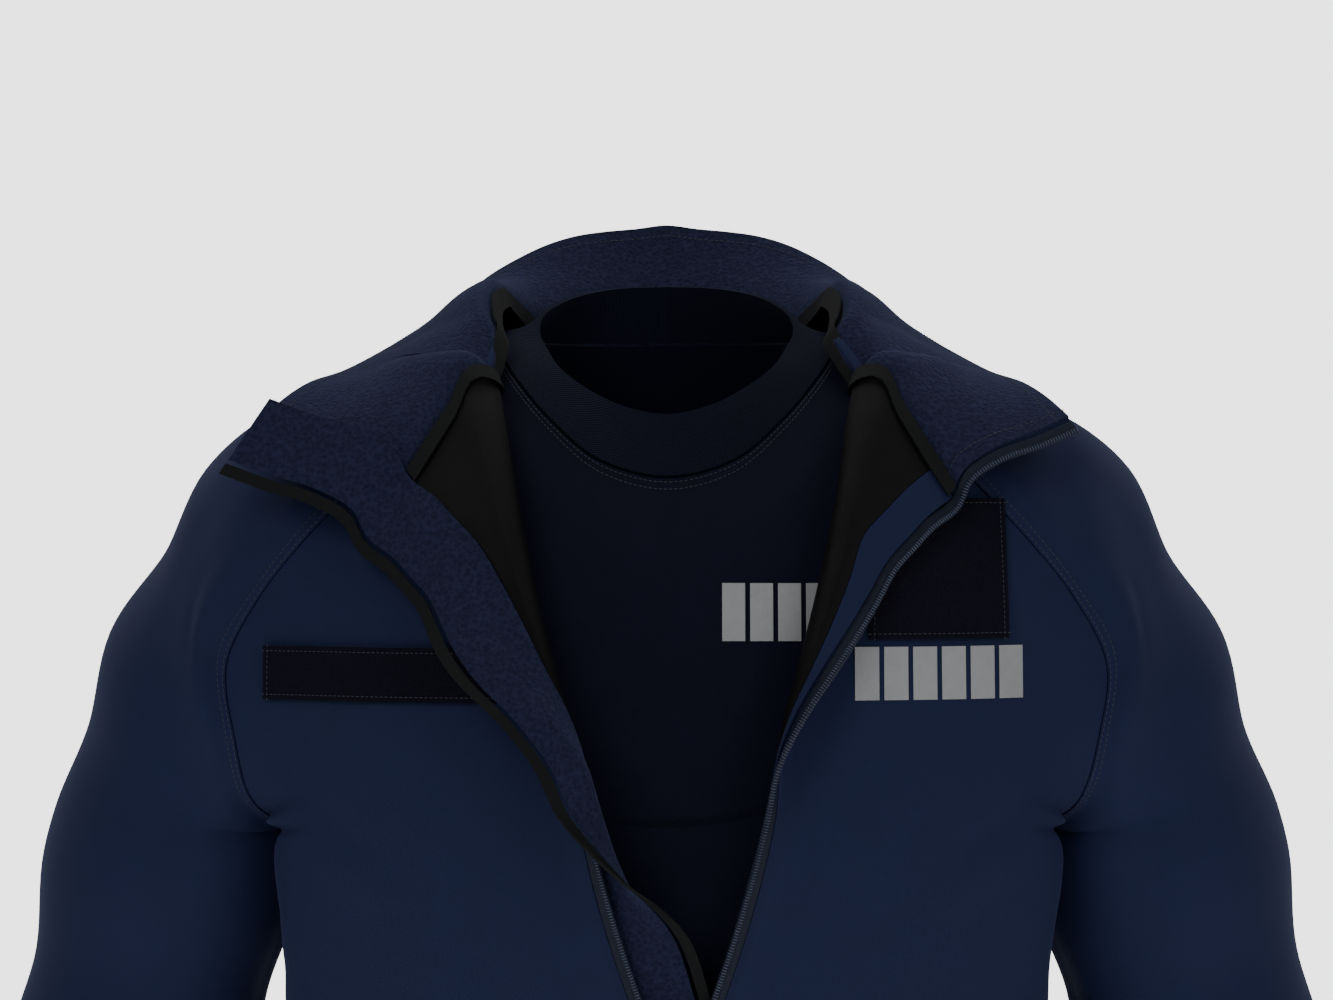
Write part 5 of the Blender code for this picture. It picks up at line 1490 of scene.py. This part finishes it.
def beads(name, lines, spacing, size, material, slot):
    """One object with beads along all these lines. A line is its points and the directions that face out."""
    vertices, edges, ups = [], [], []
    for points, facing in lines:
        first = len(vertices)
        vertices += [tuple(p) for p in points]
        ups += [tuple(v) for v in facing]
        edges += [(first + k, first + k + 1) for k in range(len(points) - 1)]
    mesh = bpy.data.meshes.new(name)
    mesh.from_pydata(vertices, edges, [])
    attribute = mesh.attributes.new("up", "FLOAT_VECTOR", "POINT")
    attribute.data.foreach_set("vector", np.array(ups, np.float32).reshape(-1))
    thing = bpy.data.objects.new(name, mesh)
    bpy.context.scene.collection.objects.link(thing)
    modifier = thing.modifiers.new("beads", "NODES")
    modifier.node_group = beads_tree(name, material)
    for item in modifier.node_group.interface.items_tree:
        if item.name == "Spacing":
            modifier[item.identifier] = spacing
        if item.name == "Size":
            modifier[item.identifier] = size
    bpy.context.view_layer.update()
    solid = bpy.data.meshes.new_from_object(thing.evaluated_get(bpy.context.evaluated_depsgraph_get()))
    thing.modifiers.clear()
    thing.data = solid
    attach(thing, "garment")
    return thing


def inset(name, edge, distance, above=0.1 * MM, first=0.0, last=1.0):
    """A line on a piece, this far in from one of its edges, and the way the piece faces along it."""
    grid, normals = FINE[name]
    if edge in ("left", "right"):
        grid, normals = np.swapaxes(grid, 0, 1), np.swapaxes(normals, 0, 1)
    if edge in ("bottom", "right"):
        grid, normals = grid[::-1], normals[::-1]
    along = metres(grid, 0)
    points, facing = [], []
    for column in range(grid.shape[1]):
        at = [np.interp(distance, along[:, column], grid[:, column, k]) for k in range(3)]
        way = [np.interp(distance, along[:, column], normals[:, column, k]) for k in range(3)]
        points.append(at)
        facing.append(way)
    points, facing = np.array(points), np.array(facing)
    low, high = (int(round(share * (len(points) - 1))) for share in (first, last))
    points, facing = points[low:high + 1], facing[low:high + 1]
    facing /= np.linalg.norm(facing, axis=-1, keepdims=True)
    return points + facing * above, facing


def underside(line, thickness):
    """A line on a piece moved to its inner face."""
    points, facing = line
    return points - facing * thickness, -facing


def build_neck_tape(panels, collar, collar_normals):
    """The seam allowance behind the standing part of the collar, from one fold to the other."""
    seam, facing = neckline(panels)
    below, below_facing = neckline(panels, 1)
    rows, normals = [], []
    for start, way, end, end_way, reach in (
        (collar[0], collar_normals[0], collar[1], collar_normals[1], 6 * MM),
        (collar[0], collar_normals[0], collar[1], collar_normals[1], 0.5 * MM),
        (seam, facing, below, below_facing, 2 * MM),
        (seam, facing, below, below_facing, 9 * MM),
    ):
        share = reach / np.linalg.norm(end - start, axis=-1, keepdims=True)
        rows.append(start + (end - start) * share)
        normals.append(way * (1 - share) + end_way * share)
    ends = LAPEL_COLUMNS + FOLD_COLUMNS + 1
    grid, normals = np.array(rows)[:, ends:-ends], np.array(normals)[:, ends:-ends]
    normals /= np.linalg.norm(normals, axis=-1, keepdims=True)
    sheet("neck_tape", grid, normals, -SHELL - 0.9 * MM, -SHELL - 0.2 * MM)


# ---------------------------------------------------------------- building the object

panels = build_jacket()
neck, neck_facing = neckline(panels)
collar, collar_normals = collar_grid(neck, neck_facing)
raised = drawn_in(collar, first_row=0.3 * MM, first_column=0.5 * MM, last_column=0.5 * MM)
sheet("collar_outer", raised, collar_normals, -SHELL, 0)
sheet("collar_fleece", raised, collar_normals, -SHELL - GAP - FLEECE, -SHELL - GAP)
build_binding(panels, collar, collar_normals)
build_edges(collar)
build_patch("name_strip_loop", -0.1415, -0.178, 0.126, 0.027, 6, 2)
build_patch("badge_patch_loop", 0.1365, -0.125, 0.071, 0.070, 4, 4)
build_tshirt()
build_neck_tape(panels, collar, collar_normals)

# Each piece gets the material of its slot and hangs on the garment body; a solid of the same name, where
# there is one, is hidden.
for name, thing in MADE.items():
    thing.data.materials.append(LOOKS[SLOTS[name]])
    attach(thing, "garment")
    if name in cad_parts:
        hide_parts(name)
    grid = FINE[name][0]

for name in ("zip_slider", "zip_pull"):
    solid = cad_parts[name]
    solid.data.materials.clear()
    solid.data.materials.append(LOOKS["zip_metal"])

# Stitches: how far apart, and their width, length and height.
STITCH, STITCH_SIZE = 3.0 * MM, (0.55 * MM, 2.3 * MM, 0.45 * MM)
FINE_STITCH, PATCH_STITCH_SIZE, JERSEY_STITCH_SIZE = (
    2.6 * MM, (0.55 * MM, 2.0 * MM, 0.5 * MM), (0.5 * MM, 2.0 * MM, 0.4 * MM)
)
HEM_TURN, TSHIRT_HEM_TURN, COLLAR_INSET = 24 * MM, 20 * MM, 7 * MM
TWIN_ROWS, TSHIRT_TWIN_ROWS = (1.6 * MM, 6.0 * MM), (2.0 * MM, 6.0 * MM)
RAGLAN_SHARE = 0.62
TOOTH, TOOTH_SIZE = 1.5 * MM, (3.5 * MM, 0.85 * MM, 3.5 * MM)
lines = []
for side in ("left", "right"):
    sleeve = "jacket_sleeve_" + side
    for edge in ("left", "right"):
        for distance in TWIN_ROWS:
            lines.append(inset(sleeve, edge, distance, last=RAGLAN_SHARE))
    lines.append(inset(sleeve, "bottom", HEM_TURN))
    lines.append(inset("jacket_front_" + side, "bottom", HEM_TURN))
lines.append(inset("jacket_back", "bottom", HEM_TURN))
beads("shell_stitches", lines, STITCH, STITCH_SIZE, LOOKS["thread"], "thread")

lines = [underside(inset("collar_fleece", edge, COLLAR_INSET), FLEECE + 0.2 * MM)
         for edge in ("bottom", "left", "right")]
beads("collar_stitches", lines, STITCH, STITCH_SIZE, LOOKS["dark_thread"], "thread")

lines = [inset(name, edge, FINE_STITCH) for name in ("name_strip_loop", "badge_patch_loop")
         for edge in ("top", "bottom", "left", "right")]
beads("patch_stitches", lines, FINE_STITCH, PATCH_STITCH_SIZE, LOOKS["dark_thread"], "thread")

lines = [inset(name, "top", distance) for name in ("tshirt_front", "tshirt_back")
         for distance in TSHIRT_TWIN_ROWS]
lines += [inset(name, "bottom", TSHIRT_HEM_TURN) for name in ("tshirt_front", "tshirt_back")]
beads("tshirt_stitches", lines, FINE_STITCH, JERSEY_STITCH_SIZE, LOOKS["dark_thread"], "thread")

lines = []
for name in ("zip_left", "zip_right"):
    grid, normals = FINE[name]
    lines.append(((grid[:, 2] + grid[:, 3]) / 2 - normals[:, 2] * 1.2 * MM, normals[:, 2]))
beads("zip_teeth", lines, TOOTH, TOOTH_SIZE, LOOKS["zip_coil"], "zip_tape")


def print_blocks(name, field, left, right, top, bottom, count, gap):
    """A row of bare reflective blocks on the cloth."""
    rows, columns = 13, 9
    width = (right - left - gap * (count - 1)) / count
    for k in range(count):
        start = left + k * (width + gap)
        x = np.linspace(start, start + width, columns)[None, :] + np.zeros((rows, 1))
        z = np.linspace(top, bottom, rows)[:, None] + np.zeros((1, columns))
        grid = on_front(field, x, z)
        normals = normals_of(field, grid)
        lift = (uneven(grid, 0.055, 0.9 * MM) + (creases(grid) if field is jacket else 0 * x))[..., None]
        outer, inner = (grid + normals * (lift + above) for above in (0.55 * MM, 0.2 * MM))
        piece = closed_wall(f"{name}_{k + 1}", outer, inner)
        piece.data.materials.append(LOOKS["reflective"])
        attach(piece, "garment")


print_blocks("chest_print", jacket, 0.094, 0.180, -0.1635, -0.190, 6, 2.5 * MM)
print_blocks("tshirt_print", tshirt, 0.028, 0.110, -0.132, -0.161, 6, 2.5 * MM)


# ---------------------------------------------------------------- the studio


def flat_piece(name, corners, colour, glow):
    """A flat surface of the studio, which glows a little so that it stays pale."""
    mesh = bpy.data.meshes.new(name)
    mesh.from_pydata(corners, [], [tuple(range(len(corners)))])
    thing = bpy.data.objects.new(name, mesh)
    bpy.context.scene.collection.objects.link(thing)
    look = Look(name, Roughness=0.9, Emission_Color=(1, 1, 1, 1), Emission_Strength=glow)
    look.colour((*colour, 1))
    mesh.materials.append(look.material)
    return thing


def light(name, place, target, size, power, colour=(1, 1, 1)):
    """A round soft light aimed at the target."""
    data = bpy.data.lights.new(name, "AREA")
    data.shape, data.size, data.energy, data.color = "DISK", size, power, colour
    thing = bpy.data.objects.new(name, data)
    thing.location = place
    thing.rotation_euler = (Vector(target) - Vector(place)).to_track_quat("-Z", "Y").to_euler()
    bpy.context.scene.collection.objects.link(thing)


FLOOR_DROP, FLOOR_HALF = 0.25, 1.7
signs = ((-1, -1), (1, -1), (1, 1), (-1, 1))
corners = [(x * FLOOR_HALF, y * FLOOR_HALF, HEM_Z - FLOOR_DROP) for x, y in signs]
flat_piece("floor", corners, (0.85, 0.85, 0.85), 0.9)
# Each light's name, place, target, size in metres and power in watts.
for lamp in (
    ("key", (-1.1, -1.9, 1.1), (0, 0, -0.2), 1.4, 21),
    ("fill", (1.5, -1.6, 0.5), (0, 0, -0.3), 1.6, 12),
    ("top", (0.0, 0.3, 1.8), (0, 0, -0.1), 1.6, 20),
    ("back_left", (-1.5, 0.9, 0.5), (0, 0, -0.2), 1.2, 6),
    ("back_right", (1.5, 0.9, 0.5), (0, 0, -0.2), 1.2, 6),
):
    light(*lamp)

world = bpy.context.scene.world or bpy.data.worlds.new("studio")
bpy.context.scene.world = world
world.use_nodes = True
paper = world.node_tree.nodes["Background"]
paper.inputs["Color"].default_value = (1, 1, 1, 1)
seen = world.node_tree.nodes.new("ShaderNodeLightPath")
strength = world.node_tree.nodes.new("ShaderNodeMapRange")
strength.inputs["To Min"].default_value = 0.26
strength.inputs["To Max"].default_value = 3.0
world.node_tree.links.new(seen.outputs["Is Camera Ray"], strength.inputs["Value"])
world.node_tree.links.new(strength.outputs["Result"], paper.inputs["Strength"])

camera = bpy.data.objects.new("camera", bpy.data.cameras.new("camera"))
camera.data.lens, camera.data.sensor_width = 100, 36
camera.location, camera.rotation_euler = (0, -1.97, -0.09), (math.pi / 2, 0, 0)
bpy.context.scene.collection.objects.link(camera)
bpy.context.scene.camera = camera
